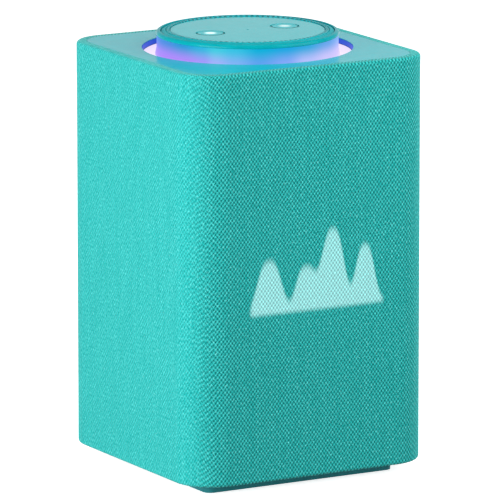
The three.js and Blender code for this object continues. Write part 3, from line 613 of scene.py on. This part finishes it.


# Sleeve -----------------------------------------------------------------------------------------
# A knitted polyester cover, stretched over a slotted ABS shell and turned in round the top plate and round
# the bottom rim, with a notch cut for the sockets. Hollow meshes show between its threads.

CORNER = 20.8 * MM
CLOTH = 1.0 * MM
ROLL = 1.6 * MM
TURNED_DOWN = 1.2 * MM
NOTCH_HALF, NOTCH_HEIGHT = 28 * MM, 28 * MM
cloth_low, cloth_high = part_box("cloth_cover")
plate_low, plate_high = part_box("top_plate")
notch_top = cloth_low.z + NOTCH_HEIGHT
turn_in = cloth_high.x - plate_high.x + 0.02 * MM - ROLL
paint_node("grille_shell", deep_teal_abs)


def closes_end(middle, normal):
    """True for the face across the middle of the cover's top or bottom."""
    return abs(normal.z) > 0.99 and middle.xy.length < 1 * MM


cover = start_block("knitted_cover", cloth_low, cloth_high)
pick(cover, "edges", lambda middle, way: abs(way.z) > 0.9)
bpy.ops.mesh.bevel(offset=CORNER, segments=12, affect="EDGES")
pick(cover, "edges", lambda middle, way: abs(way.z) < 0.1)
bpy.ops.mesh.bevel(offset=ROLL, segments=4, affect="EDGES")
pick(cover, "faces", closes_end)
bpy.ops.mesh.inset(thickness=turn_in)
bpy.ops.mesh.inset(thickness=0.05 * MM)
for end in (1, -1):
    pick(cover, "faces", lambda middle, normal: closes_end(middle, normal) and normal.z * end > 0)
    bpy.ops.transform.translate(value=(0, 0, -end * TURNED_DOWN))
pick(cover, "faces", closes_end)
bpy.ops.mesh.delete(type="FACE")
for edge_x in (-NOTCH_HALF, NOTCH_HALF):
    pick(cover, "faces", lambda middle, normal: middle.y > 0)
    bpy.ops.mesh.bisect(plane_co=(edge_x, 0, 0), plane_no=(1, 0, 0))
pick(cover, "faces", lambda middle, normal: middle.y > 0 and abs(middle.x) < NOTCH_HALF)
bpy.ops.mesh.bisect(plane_co=(0, 0, notch_top), plane_no=(0, 0, 1))
pick(cover, "faces", lambda middle, normal: (
    middle.y > 0 and abs(middle.x) < NOTCH_HALF and middle.z < notch_top
))
bpy.ops.mesh.delete(type="FACE")
bpy.ops.object.mode_set(mode="OBJECT")

# The knit runs round the cover: its first coordinate is the way along the outline, and its second is
# height plus the cloth turned in at the rims. A whole number of 2 mm stitches fits round the outline,
# so the pattern closes on itself, and a course is 2.6 mm high.
STITCHES_ROUND = 264
straight = cloth_high.x - CORNER
around = 8 * straight + tau * CORNER
STITCH = around / STITCHES_ROUND
COURSE = 2.645 * MM


def along_outline(point):
    """The way along the cover's outline to a point from the middle of the front, towards the right first."""
    quarter = round(atan2(point.x, -point.y) / (pi / 2))
    across, out = [
        (point.x, -point.y), (point.y, point.x), (-point.x, point.y), (-point.y, -point.x),
    ][quarter % 4]
    way = straight * min(max(across / straight, -1), 1)
    if abs(across) > straight:
        lean = atan2(abs(across) - straight, out - straight)
        way += lean * CORNER * (1 if across > 0 else -1)
    return way + (quarter % 4) * around / 4


knit_map = cover.data.uv_layers.new(name="knit")
for face in cover.data.polygons:
    places = []
    for corner in face.vertices:
        point = cover.data.vertices[corner].co
        inward = cloth_high.x - max(abs(point.x), abs(point.y))
        rise = point.z
        if point.z > cloth_high.z - ROLL:
            rise += max(inward - ROLL, 0)
        if point.z < cloth_low.z + ROLL:
            rise -= max(inward - ROLL, 0)
        places.append([along_outline(point), rise])
    if max(place[0] for place in places) - min(place[0] for place in places) > around / 2:
        for place in places:
            place[0] += around if place[0] < around / 2 else 0
    for loop, place in zip(face.loop_indices, places):
        knit_map.data[loop].uv = place

select_only(cover)
solid = cover.modifiers.new("cloth_thickness", "SOLIDIFY")
solid.thickness = CLOTH
solid.offset = -1
bpy.ops.object.modifier_apply(modifier=solid.name)

# Knitted polyester: matt threads that catch the light on their crests over dark meshes, a thin sheen where
# the face turns away, loose pale fibres here and there, and random pale threads whose whitish tint is a
# painted glint. The meshes' dark is partly the teal shell behind them and partly painted shade in the holes.
# The display's light is painted on the front as a glow.
KNIT_DARK, KNIT_MID, KNIT_PALE_GLINT, KNIT_FUZZ = "#007571", "#0cb2ae", "#57e5e1", "#82e2de"
GLOW_THREAD, GLOW_HOLE = "#a6b2b3", "#7a9396"
KNIT_RELIEF = 0.2 * MM
FIBRE, STREAK = 1.3 * MM, 4 * MM
knit, knit_tree, knit_shader = new_finish("knitted_polyester", {
    "Roughness": 0.7, "Specular IOR Level": 0.08, "Sheen Weight": 0.14, "Sheen Roughness": 0.35,
    "Sheen Tint": "#d6fbf8", "Emission Strength": 1.0,
})
knit_place = add_node(knit_tree, "UVMap", uv_map="knit")
knit_axes = add_node(knit_tree, "SeparateXYZ", (knit_place,)).node.outputs
cover_place = add_node(knit_tree, "TexCoord", output="Object")
cover_axes = add_node(knit_tree, "SeparateXYZ", (cover_place,)).node.outputs

# Two families of slanting ribs cross, and a hole opens between them. The rising ribs count a little more
# in the colour, and the falling ones in the relief, so that the knit isn't quite even.
stitch_phase = add_node(knit_tree, "Math", (knit_axes["X"], tau / STITCH), operation="MULTIPLY")
course_phase = add_node(knit_tree, "Math", (knit_axes["Y"], tau / COURSE), operation="MULTIPLY")
phases = (stitch_phase, course_phase)
rising = add_node(knit_tree, "Math", phases, operation="SUBTRACT")
rising = add_node(knit_tree, "Math", (rising,), operation="COSINE")
falling = add_node(knit_tree, "Math", phases, operation="ADD")
falling = add_node(knit_tree, "Math", (falling,), operation="COSINE")
egg_crate = add_node(knit_tree, "Math", (falling, 0.46), operation="MULTIPLY")
egg_crate = add_node(knit_tree, "Math", (rising, 0.54, egg_crate), operation="MULTIPLY_ADD")
# The holes' dark is partly the teal shell behind them and partly painted shade in the holes.
hole = add_node(knit_tree, "MapRange", {
    "Value": egg_crate, "From Min": -0.8, "From Max": 0.9,
}, **SMOOTH)

# On the two sides the dark of the meshes fades to half: painted light, standing in for the side lamp that
# lights those faces square on and flattens the knit.
sideways = add_node(knit_tree, "Math", (cover_axes["X"],), operation="ABSOLUTE")
side_shade_fade = add_node(knit_tree, "MapRange", {
    "Value": sideways, "From Min": cloth_high.x - 14 * MM, "From Max": cloth_high.x - 1 * MM,
    "To Min": 1.0, "To Max": 0.5,
}, **SMOOTH)
hole = add_node(knit_tree, "Math", (hole, side_shade_fade), operation="MULTIPLY")

fibres = add_node(knit_tree, "TexNoise", {"Vector": knit_place, "Scale": 1 / FIBRE, "Detail": 2.0})
streak_place = add_node(knit_tree, "Mapping", {
    "Vector": knit_place, "Rotation": (0, 0, radians(-20)), "Scale": (1, 0.12, 1),
})
streaks = add_node(knit_tree, "TexNoise", {"Vector": streak_place, "Scale": 1 / STREAK, "Detail": 3.0})
# Painted glint: random threads are mixed towards a pale, whitish teal that stands in for their shine.
pale_threads_and_glint = add_node(knit_tree, "MapRange", {"Value": fibres, **NOISE_SPREAD})
dulling = add_node(knit_tree, "MapRange", {"Value": streaks, **NOISE_SPREAD, "To Max": 0.35})
fuzz = add_node(knit_tree, "MapRange", {
    "Value": fibres, "From Min": 0.62, "From Max": 0.78, "To Max": 0.4,
})
knit_colour = KNIT_MID
for factor, over in ((pale_threads_and_glint, KNIT_PALE_GLINT), (dulling, KNIT_MID), (hole, KNIT_DARK), (fuzz, KNIT_FUZZ)):
    layers = {0: factor, 6: knit_colour, 7: over}
    knit_colour = add_node(knit_tree, "Mix", layers, **COLOURS)

# Painted light: the display's light through the knit is painted on the cloth's front as a glow in the
# spectrum's shape.
spectrum = glow_of_spectrum(knit_tree, cover_axes["X"], cover_axes["Z"])
on_front = add_node(knit_tree, "Math", (cover_axes["Y"], cloth_low.y + 3 * MM), operation="LESS_THAN")
glow = add_node(knit_tree, "Math", (spectrum, on_front), operation="MULTIPLY")
glow_layers = {0: hole, 6: GLOW_THREAD, 7: GLOW_HOLE}
glow_colour = add_node(knit_tree, "Mix", glow_layers, **COLOURS)

# The rolled rim is stretched smooth, so the relief fades out there.
relief = add_node(knit_tree, "Math", (falling, -0.56), operation="MULTIPLY")
relief = add_node(knit_tree, "Math", (rising, -0.44, relief), operation="MULTIPLY_ADD")
relief = add_node(knit_tree, "Math", (fibres, 0.5, relief), operation="MULTIPLY_ADD")
on_rim = add_node(knit_tree, "MapRange", {
    "Value": cover_axes["Z"], "From Min": cloth_high.z - 0.8 * MM, "From Max": cloth_high.z,
    "To Min": 1.0, "To Max": 0.15,
})
set_inputs(knit_shader, {
    "Base Color": knit_colour,
    "Emission Color": add_node(knit_tree, "Mix", {
        0: glow, 6: "#000000", 7: glow_colour,
    }, **COLOURS),
    "Normal": add_node(knit_tree, "Bump", {
        "Height": relief, "Distance": KNIT_RELIEF, "Strength": on_rim,
    }),
})

finish(cover, knit, "sleeve", ["cloth_cover"], corner=40)


# Top plate --------------------------------------------------------------------------------------
# A plate of satin ABS, moulded in one piece and pressed into the cover's rim. The dial's neck stands in
# its round opening with room all round.

RECESS_RADIUS = 54.5 * MM
PLATE_CORNER, PLATE_EDGE = 16 * MM, 0.15 * MM
RING_TURN = 160

# Satin ABS from a polished mould: smooth, saturated teal with a faint mirror of the pale room.
satin_teal = moulded(
    "satin_teal_abs", "#00bac4", "#03bfc9", 0.19, 0.6 * MM, 0.0001 * MM, **{"Specular IOR Level": 0.19}
)
plate = start_block("top_plate_moulding", plate_low, plate_high)
pick(plate, "edges", lambda middle, way: abs(way.z) > 0.9)
bpy.ops.mesh.bevel(offset=PLATE_CORNER, segments=12, affect="EDGES")
bpy.ops.object.mode_set(mode="OBJECT")


def cut_round_hole(piece, centre_x, radius, low, high, segments):
    """Cuts a round hole through a finished block or disc, from 1 mm below low to 1 mm above high."""
    low, high = low - 1 * MM, high + 1 * MM
    drill = turn("drill", [(0, low), (radius, low), (radius, high), (0, high)], segments)
    face_towards(drill, (centre_x, 0, 0), (0, 0, 1))
    select_only(piece)
    hole_cut = piece.modifiers.new("hole", "BOOLEAN")
    hole_cut.object = drill
    hole_cut.operation = "DIFFERENCE"
    hole_cut.solver = "EXACT"
    bpy.ops.object.modifier_apply(modifier=hole_cut.name)
    bpy.data.objects.remove(drill)


cut_round_hole(plate, 0, RECESS_RADIUS, plate_low.z, plate_high.z, RING_TURN)
finish(plate, satin_teal, "sleeve", ["top_plate"], PLATE_EDGE, 50)


# Light ring and neck ----------------------------------------------------------------------------
# Milky acrylic, moulded clear with a diffusing pigment: the floor of the recess, over coloured lamps, glows
# pale pink. The lamps' light on the recess wall and on the neck is painted light: a thin sheet on the wall
# glows blue, and the neck glows from violet and pink low down to blue.

glow_low, glow_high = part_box("glow_ring")
neck_low, neck_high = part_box("neck_light_guide")
GLOW_OUTER, GLOW_INNER = 54.1 * MM, 47.95 * MM
NECK_OUTER, NECK_INNER, NECK_FOOT = 46.9 * MM, 44.4 * MM, 47.6 * MM
FOOT_SWEEP = 3 * MM
WALL_GAP, WALL_THICK = 0.05 * MM, 0.3 * MM

# Pink-lit acrylic: an even pale pink glow, whose surface is too bright for its shine to show.
pink_acrylic, pink_tree, pink_shader = new_finish("pink_lit_acrylic", {
    "Base Color": "#2c2636", "Roughness": 0.45, "Emission Strength": 0.97,
})
# Painted light on the recess wall: the lamps' blue light on it, painted as a deep blue glow, a little
# uneven.
blue_wall_painted_light, blue_tree, blue_shader = new_finish("recess_wall_painted_blue_light", {
    "Base Color": "#040b30", "Roughness": 0.4, "Specular IOR Level": 0.1, "Emission Strength": 0.95,
})
# The pink glow is the lamps' own. The wall's blue glow is painted light. Both vary in soft random patches.
for tree, shader, patch_size, dim, bright in (
    (pink_tree, pink_shader, 30 * MM, "#ecdcfd", "#f2e4ff"),
    (blue_tree, blue_shader, 24 * MM, "#1245c6", "#2455d8"),
):
    patches = add_node(tree, "MapRange", {"Value": scatter(tree, patch_size, 1), **NOISE_SPREAD})
    patch_layers = {0: patches, 6: dim, 7: bright}
    set_inputs(shader, {"Emission Color": add_node(tree, "Mix", patch_layers, **COLOURS)})

floor_ring = turn("glowing_floor_ring", [
    (GLOW_INNER, glow_low.z), (GLOW_OUTER, glow_low.z), (GLOW_OUTER, glow_high.z), (GLOW_INNER, glow_high.z),
], RING_TURN)
finish(floor_ring, pink_acrylic, "chassis", ["glow_ring"], 0.2 * MM)

# A thin glowing sheet laid on the recess wall to carry its painted blue light.
wall_outer = RECESS_RADIUS - WALL_GAP
wall_inner = wall_outer - WALL_THICK
wall_foot, wall_head = glow_high.z + 0.15 * MM, plate_high.z - 0.5 * MM
wall_ring = turn("recess_wall_painted_glow", [
    (wall_inner, wall_foot), (wall_outer, wall_foot), (wall_outer, wall_head), (wall_inner, wall_head),
], RING_TURN)
finish(wall_ring, blue_wall_painted_light, "sleeve")

# Painted light on the neck: a glow stands in for the lamps' light falling on it, its colours running into
# each other round the neck and fading to blue upwards.
neck_painted_light, neck_tree, neck_shader = new_finish("neck_painted_lamp_light", {
    "Base Color": "#02040c", "Roughness": 0.35, "Specular IOR Level": 0.04, "Emission Strength": 0.98,
})
neck_place = add_node(neck_tree, "TexCoord", output="Object")
neck_axes = add_node(neck_tree, "SeparateXYZ", (neck_place,)).node.outputs
bearing = add_node(neck_tree, "Math", (neck_axes["Y"], neck_axes["X"]), operation="ARCTAN2")
bearing_share = add_node(neck_tree, "Math", (bearing, 1 / tau, 0.5), operation="MULTIPLY_ADD")


def colour_ring(tree, share, stops):
    """A colour that runs round a circle through stops of (degrees, hex). Share is 0 to 1 from -180."""
    ring = add_node(tree, "ValToRGB", (share,))
    band = ring.node.color_ramp
    band.interpolation = "EASE"
    for number, (degrees_round, code) in enumerate(stops):
        place = (degrees_round + 180) / 360
        stop = band.elements[number] if number < 2 else band.elements.new(place)
        stop.position = place
        stop.color = linear(code)
    return ring


# Painted light: the neck's colour low down and high up at each bearing, standing in for how the lamps' light
# falls on that side.
low_painted_glow = colour_ring(neck_tree, bearing_share, (
    (-180, "#b48dff"), (-160, "#b28fff"), (-148, "#a698ff"), (-140, "#a4b2fe"), (-128, "#84b4f8"),
    (-112, "#61a3f3"), (-95, "#86a9fb"), (-80, "#b6c1ff"), (-60, "#d0c9ff"), (-40, "#dacbff"),
    (10, "#e6c6f6"), (70, "#b892f4"), (120, "#8aa4fa"), (155, "#b096fc"), (179, "#b48dff"),
))
high_painted_glow = colour_ring(neck_tree, bearing_share, (
    (-180, "#4a92e4"), (-165, "#2c9cdc"), (-150, "#26b5e0"), (-140, "#38cde3"), (-128, "#36c4e6"),
    (-112, "#0bb1dd"), (-95, "#1ba8e4"), (-80, "#30aae2"), (-60, "#68a7ed"), (-40, "#85aef5"),
    (10, "#6a80f2"), (70, "#4a86ee"), (120, "#2ea6e8"), (155, "#5c8bec"), (179, "#4a92e4"),
))
up_neck = add_node(neck_tree, "MapRange", {
    "Value": neck_axes["Z"], "From Min": glow_high.z + 1 * MM, "From Max": neck_high.z,
}, **SMOOTH)
neck_layers = {0: up_neck, 6: low_painted_glow, 7: high_painted_glow}
set_inputs(neck_shader, {
    "Emission Color": add_node(neck_tree, "Mix", neck_layers, **COLOURS),
})
foot_sweep = []
for angle in range(0, 91, 15):
    rise = sin(radians(angle))
    foot_sweep.append((NECK_OUTER + (NECK_FOOT - NECK_OUTER) * (1 - rise), glow_high.z + FOOT_SWEEP * rise))
neck = turn("neck_painted_glow", [
    (NECK_INNER, neck_low.z), (NECK_FOOT, neck_low.z), *foot_sweep, (NECK_OUTER, neck_high.z),
    (NECK_INNER, neck_high.z),
], RING_TURN)
finish(neck, neck_painted_light, "chassis", ["neck_light_guide"])


# Dial -------------------------------------------------------------------------------------------
# A satin-gloss ABS rim with a rounded edge turns with a thin clear line inlaid in it and a bevelled
# grip ring, whose inner edge is cut with fine notches. An acetal carrier with a ring gear holds them.

RIM_INNER, RIM_WEB = 40.4 * MM, 0.8 * MM
CHANNEL_WALL = 44.9 * MM
INLAY_INNER, INLAY_OUTER = 42.3 * MM, 44.6 * MM
GRIP_INNER, GRIP_OUTER, NOTCH_OUTER = 40.1 * MM, 42.05 * MM, 41.7 * MM
NOTCHES, NOTCH_DEPTH, NOTCH_WALL = 90, 0.12 * MM, 0.6 * MM
rim_low, rim_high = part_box("dial_rim")
inlay_low, inlay_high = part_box("dial_light_inlay")
grip_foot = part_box("dial_grip_ring")[0].z
dial_top = rim_high.z
rim_outer = rim_high.x

# Satin-gloss ABS: deep teal with one narrow soft highlight along its rounded edge.
gloss_teal = moulded(
    "satin_gloss_teal_abs", "#009ba3", "#02a2aa", 0.22, 0.8 * MM, 0.0002 * MM,
    **{"Specular IOR Level": 0.07},
)
# Satin ABS: as smooth as the top plate and a shade darker.
satin_ring = moulded(
    "satin_ring_teal_abs", "#02acb4", "#06b2ba", 0.25, 0.6 * MM, 0.0002 * MM, **{"Specular IOR Level": 0.15}
)
# Painted shade: the notches' floors are painted a darker, matt teal for the shade in the cuts, and read as
# dark ticks.
notch_painted_shade = moulded("notch_floor_painted_shade", "#12777d", "#178087", 0.6)
# Acetal: waxy off-white, slippery and half matt.
acetal = moulded("natural_acetal", "#d5d1c2", "#e2dfd2", 0.45)
paint_node("dial_carrier", acetal)
paint_node("encoder_pinion", acetal)

rounded_edge = [
    (0, 1.9 * MM), (0.12 * MM, 1.35 * MM), (0.4 * MM, 0.9 * MM), (0.85 * MM, 0.55 * MM),
    (1.4 * MM, 0.33 * MM),
]
rim = turn("dial_rim_moulding", [
    (RIM_INNER, rim_low.z), (rim_outer - 0.3 * MM, rim_low.z), (rim_outer, rim_low.z + 0.3 * MM),
    *[(rim_outer - inward, dial_top - down) for inward, down in rounded_edge],
    (CHANNEL_WALL + 0.35 * MM, dial_top - 0.22 * MM), (CHANNEL_WALL + 0.1 * MM, dial_top - 0.4 * MM),
    (CHANNEL_WALL, dial_top - 0.8 * MM), (CHANNEL_WALL, rim_low.z + RIM_WEB),
    (RIM_INNER, rim_low.z + RIM_WEB),
], RING_TURN)
finish(rim, gloss_teal, "dial", ["dial_rim"])

# Clear acrylic over the teal channel: a thin line that takes the ring's colour and little shine.
line_acrylic = moulded(
    "satin_line_acrylic", "#02a4ac", "#06aeb6", 0.4, 0.8 * MM, 0.001 * MM, **{"Specular IOR Level": 0.06}
)
inlay = turn("dial_inlay_line", [
    (INLAY_INNER, inlay_low.z), (INLAY_OUTER, inlay_low.z), (INLAY_OUTER, inlay_high.z - 0.75 * MM),
    (INLAY_OUTER - 0.25 * MM, inlay_high.z - 0.55 * MM), (INLAY_INNER + 1 * MM, inlay_high.z - 0.2 * MM),
    (INLAY_INNER + 0.2 * MM, inlay_high.z), (INLAY_INNER, inlay_high.z - 0.15 * MM),
], RING_TURN)
finish(inlay, line_acrylic, "dial", ["dial_light_inlay"])

# The ring stands a little proud of the disc. Every second step of its inner corner is cut back, and the cut
# is painted dark and matt: painted shade in the cut.
grip = turn("dial_notched_ring", [
    (GRIP_INNER, grip_foot), (GRIP_OUTER, grip_foot), (GRIP_OUTER, dial_top - 0.5 * MM),
    (GRIP_OUTER - 0.2 * MM, dial_top - 0.12 * MM), (NOTCH_OUTER, dial_top), (GRIP_INNER, dial_top),
    (GRIP_INNER, dial_top - NOTCH_WALL),
], 2 * NOTCHES)


def in_notch(middle):
    """True where a notch is cut: the top of the ring's inner corner, at every second step round it."""
    step = int((atan2(middle.y, middle.x) + pi) / tau * 2 * NOTCHES)
    high = middle.z > dial_top - NOTCH_WALL
    return high and step % 2 == 0 and middle.xy.length < NOTCH_OUTER - 0.05 * MM


pick(grip, "faces", lambda middle, normal: in_notch(middle) and normal.z > 0.95)
bpy.ops.mesh.extrude_region_move(TRANSFORM_OT_translate={"value": (0, 0, -NOTCH_DEPTH)})
finish(grip, satin_ring, "dial", ["dial_grip_ring"])
# Painted shade: the notch faces take the darker teal.
grip.data.materials.append(notch_painted_shade)
for face in grip.data.polygons:
    if in_notch(face.center):
        face.material_index = 1


# Touch disc and buttons --------------------------------------------------------------------------
# A satin ABS disc stands still inside the turning ring. Two round caps press on switches under it,
# each with a milky window that a lamp lights, and a microphone listens through the hole between.

DISC_RADIUS, DISC_THICK, DISC_SINK = 39.9 * MM, 2.2 * MM, 0.35 * MM
SKIRT_OUTER, SKIRT_INNER = 37 * MM, 35.5 * MM
BUTTON_RADIUS, BUTTON_HOLE, BUTTON_STEM = 7.35 * MM, 7.65 * MM, 2 * MM
BUTTON_LIP, BUTTON_LIP_GAP, BUTTON_LIP_THICK = 1 * MM, 0.3 * MM, 0.6 * MM
MICROPHONE_HOLE = 0.6 * MM
BUTTON_TURN = 64
WINDOW_CORE, WINDOW_EDGE = 1.2 * MM, 4.2 * MM
disc_low, disc_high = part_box("touch_disc")
left_low, left_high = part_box("left_button")
button_offset = middle_of("right_button").x
disc_under = disc_high.z - DISC_THICK

# The disc and the caps are drawn a little lower than the CAD ones, so that the ring stands proud.
disc_top = disc_high.z - DISC_SINK
cap_face = left_high.z - DISC_SINK

# Satin ABS, as the top plate's: it mirrors the pale room softly, so it looks paler than the rim.
satin_top = moulded(
    "satin_top_teal_abs", "#02bec6", "#05c3cb", 0.16, 0.6 * MM, 0.0001 * MM, **{"Specular IOR Level": 0.2}
)
touch_disc = turn("touch_disc_moulding", [
    (0, disc_top), (DISC_RADIUS - 0.25 * MM, disc_top), (DISC_RADIUS, disc_top - 0.25 * MM),
    (DISC_RADIUS, disc_under), (SKIRT_OUTER, disc_under), (SKIRT_OUTER, disc_low.z),
    (SKIRT_INNER, disc_low.z), (SKIRT_INNER, disc_under), (0, disc_under),
], RING_TURN)
bpy.ops.object.mode_set(mode="OBJECT")
for hole_x, radius, segments in (
    (-button_offset, BUTTON_HOLE, BUTTON_TURN), (button_offset, BUTTON_HOLE, BUTTON_TURN),
    (0, MICROPHONE_HOLE, PIN_TURN),
):
    cut_round_hole(touch_disc, hole_x, radius, disc_under, disc_top, segments)
finish(touch_disc, satin_top, "chassis", ["touch_disc"], 0.12 * MM, 50)

for side, sign, glow_code, brightness in (("left", -1, "#d5fbfb", 0.45), ("right", 1, "#a8e6ea", 0.12)):
    button_x = sign * button_offset
    # Two-shot ABS: a teal cap whose milky middle lets a lamp through as a soft white spot.
    window, window_tree, window_shader = new_finish(f"{side}_lit_button_abs", {
        "Roughness": 0.36, "Emission Color": glow_code,
    })
    button_place = add_node(window_tree, "TexCoord", output="Object")
    centred = add_node(window_tree, "Mapping", {
        "Vector": button_place, "Location": (-button_x, 0, -cap_face),
    })
    reach = add_node(window_tree, "VectorMath", (centred,), "Value", operation="LENGTH")
    spot = add_node(window_tree, "MapRange", {
        "Value": reach, "From Min": WINDOW_EDGE, "From Max": WINDOW_CORE,
    }, **SMOOTH)
    spot_layers = {0: spot, 6: "#04c3cb", 7: "#d8f7f7"}
    set_inputs(window_shader, {
        "Base Color": add_node(window_tree, "Mix", spot_layers, **COLOURS),
        "Emission Strength": add_node(window_tree, "Math", (spot, brightness), operation="MULTIPLY"),
    })
    lip_radius, lip_top = BUTTON_RADIUS + BUTTON_LIP, disc_under - BUTTON_LIP_GAP
    lip_foot = lip_top - BUTTON_LIP_THICK
    button = turn(f"{side}_button_cap", [
        (0, cap_face), (BUTTON_RADIUS - 0.7 * MM, cap_face), (BUTTON_RADIUS, cap_face - 0.5 * MM),
        (BUTTON_RADIUS, lip_top), (lip_radius, lip_top), (lip_radius, lip_foot), (BUTTON_STEM, lip_foot),
        (BUTTON_STEM, left_low.z), (0, left_low.z),
    ], BUTTON_TURN)
    face_towards(button, (button_x, 0, 0), (0, 0, 1))
    finish(button, window, f"{side}_key", [f"{side}_button"])
    button.data.materials.append(deep_teal_abs)
    for face in button.data.polygons:
        if cap_face - 0.6 * MM < face.center.z < cap_face - 0.1 * MM:
            face.material_index = 1


# Floor, light and camera ------------------------------------------------------------------------
# A plain pale floor and background. A broad soft light stands at the left, a weaker one at the right
# front, and two more keep the top and the back from going dark.

scene = bpy.context.scene
scene.view_settings.view_transform = "Standard"

clear_selection()
bpy.ops.mesh.primitive_plane_add(size=30)
floor = bpy.context.object
floor.name = "studio_floor"
# White paper: matt, with a little light of its own, so that it meets the background without an edge.
floor_paper = new_finish("pale_floor", {
    "Base Color": "#ffffff", "Roughness": 0.9, "Specular IOR Level": 0.0,
    "Emission Color": "#ffffff", "Emission Strength": 0.8,
})[0]
floor.data.materials.append(floor_paper)
floor.visible_diffuse = False

# The studio is dim in front and bright behind, as a product stands before a lit white sweep.
AWAY_FROM_LENS = (0.495, 0.868, 0.0)
world = bpy.data.worlds.new("studio")
scene.world = world
world.use_nodes = True
world_tree = world.node_tree
looking = add_node(world_tree, "TexCoord", output="Generated")
behind = add_node(world_tree, "VectorMath", (looking, AWAY_FROM_LENS), "Value", operation="DOT_PRODUCT")
room_light = add_node(world_tree, "MapRange", {
    "Value": behind, "From Min": 0.7, "From Max": 0.95, "To Min": 0.34, "To Max": 0.66,
}, **SMOOTH)
seen = add_node(world_tree, "LightPath", output="Is Camera Ray")
set_inputs(world_tree.nodes["Background"], {
    "Color": "#ffffff",
    "Strength": add_node(world_tree, "Math", (room_light, seen), operation="MAXIMUM"),
})

CENTRE = Vector((0, 0, (cad_low.z + cad_high.z) / 2))


def direction(azimuth, elevation):
    """The way from the object to a lamp or lens, from degrees round it and degrees up."""
    round_it, up = radians(azimuth), radians(elevation)
    return Vector((sin(round_it) * cos(up), -cos(round_it) * cos(up), sin(up)))


def stand(item, target, way, distance):
    """Stands a lamp or the camera at a distance from its target, looking at it."""
    scene.collection.objects.link(item)
    item.location = target + way * distance
    item.rotation_mode = "QUATERNION"
    item.rotation_quaternion = (-way).to_track_quat("-Z", "Y")


def soft_light(name, azimuth, elevation, distance, size, power, mirrored=True):
    """A square area light that looks at the object's middle. It can be kept out of the mirror image in
    the smooth top."""
    lamp_data = bpy.data.lights.new(name, "AREA")
    lamp_data.size = size
    lamp_data.energy = power
    lamp = bpy.data.objects.new(name, lamp_data)
    lamp.visible_glossy = mirrored
    stand(lamp, CENTRE, direction(azimuth, elevation), distance)


soft_light("key", azimuth=-75, elevation=8, distance=0.95, size=0.6, power=10.1)
soft_light("fill", azimuth=40, elevation=32, distance=0.75, size=0.7, power=4.8)
soft_light("top", azimuth=0, elevation=89.9, distance=0.8, size=0.5, power=0.9)
soft_light("back", azimuth=165, elevation=12, distance=1.1, size=0.8, power=4.5, mirrored=False)

SENSOR = 36
LENS = 14.102 * SENSOR
camera_data = bpy.data.cameras.new("camera")
camera_data.sensor_width = SENSOR
camera_data.lens = LENS
camera_data.shift_x = 0.0048
camera_data.shift_y = -0.0024
camera_data.clip_end = 50
camera = bpy.data.objects.new("camera", camera_data)
cloth_centre = Vector((0, 0, (cloth_low.z + cloth_high.z) / 2))
stand(camera, cloth_centre, direction(-29.683, 11.465), distance=3.6533)
scene.camera = camera
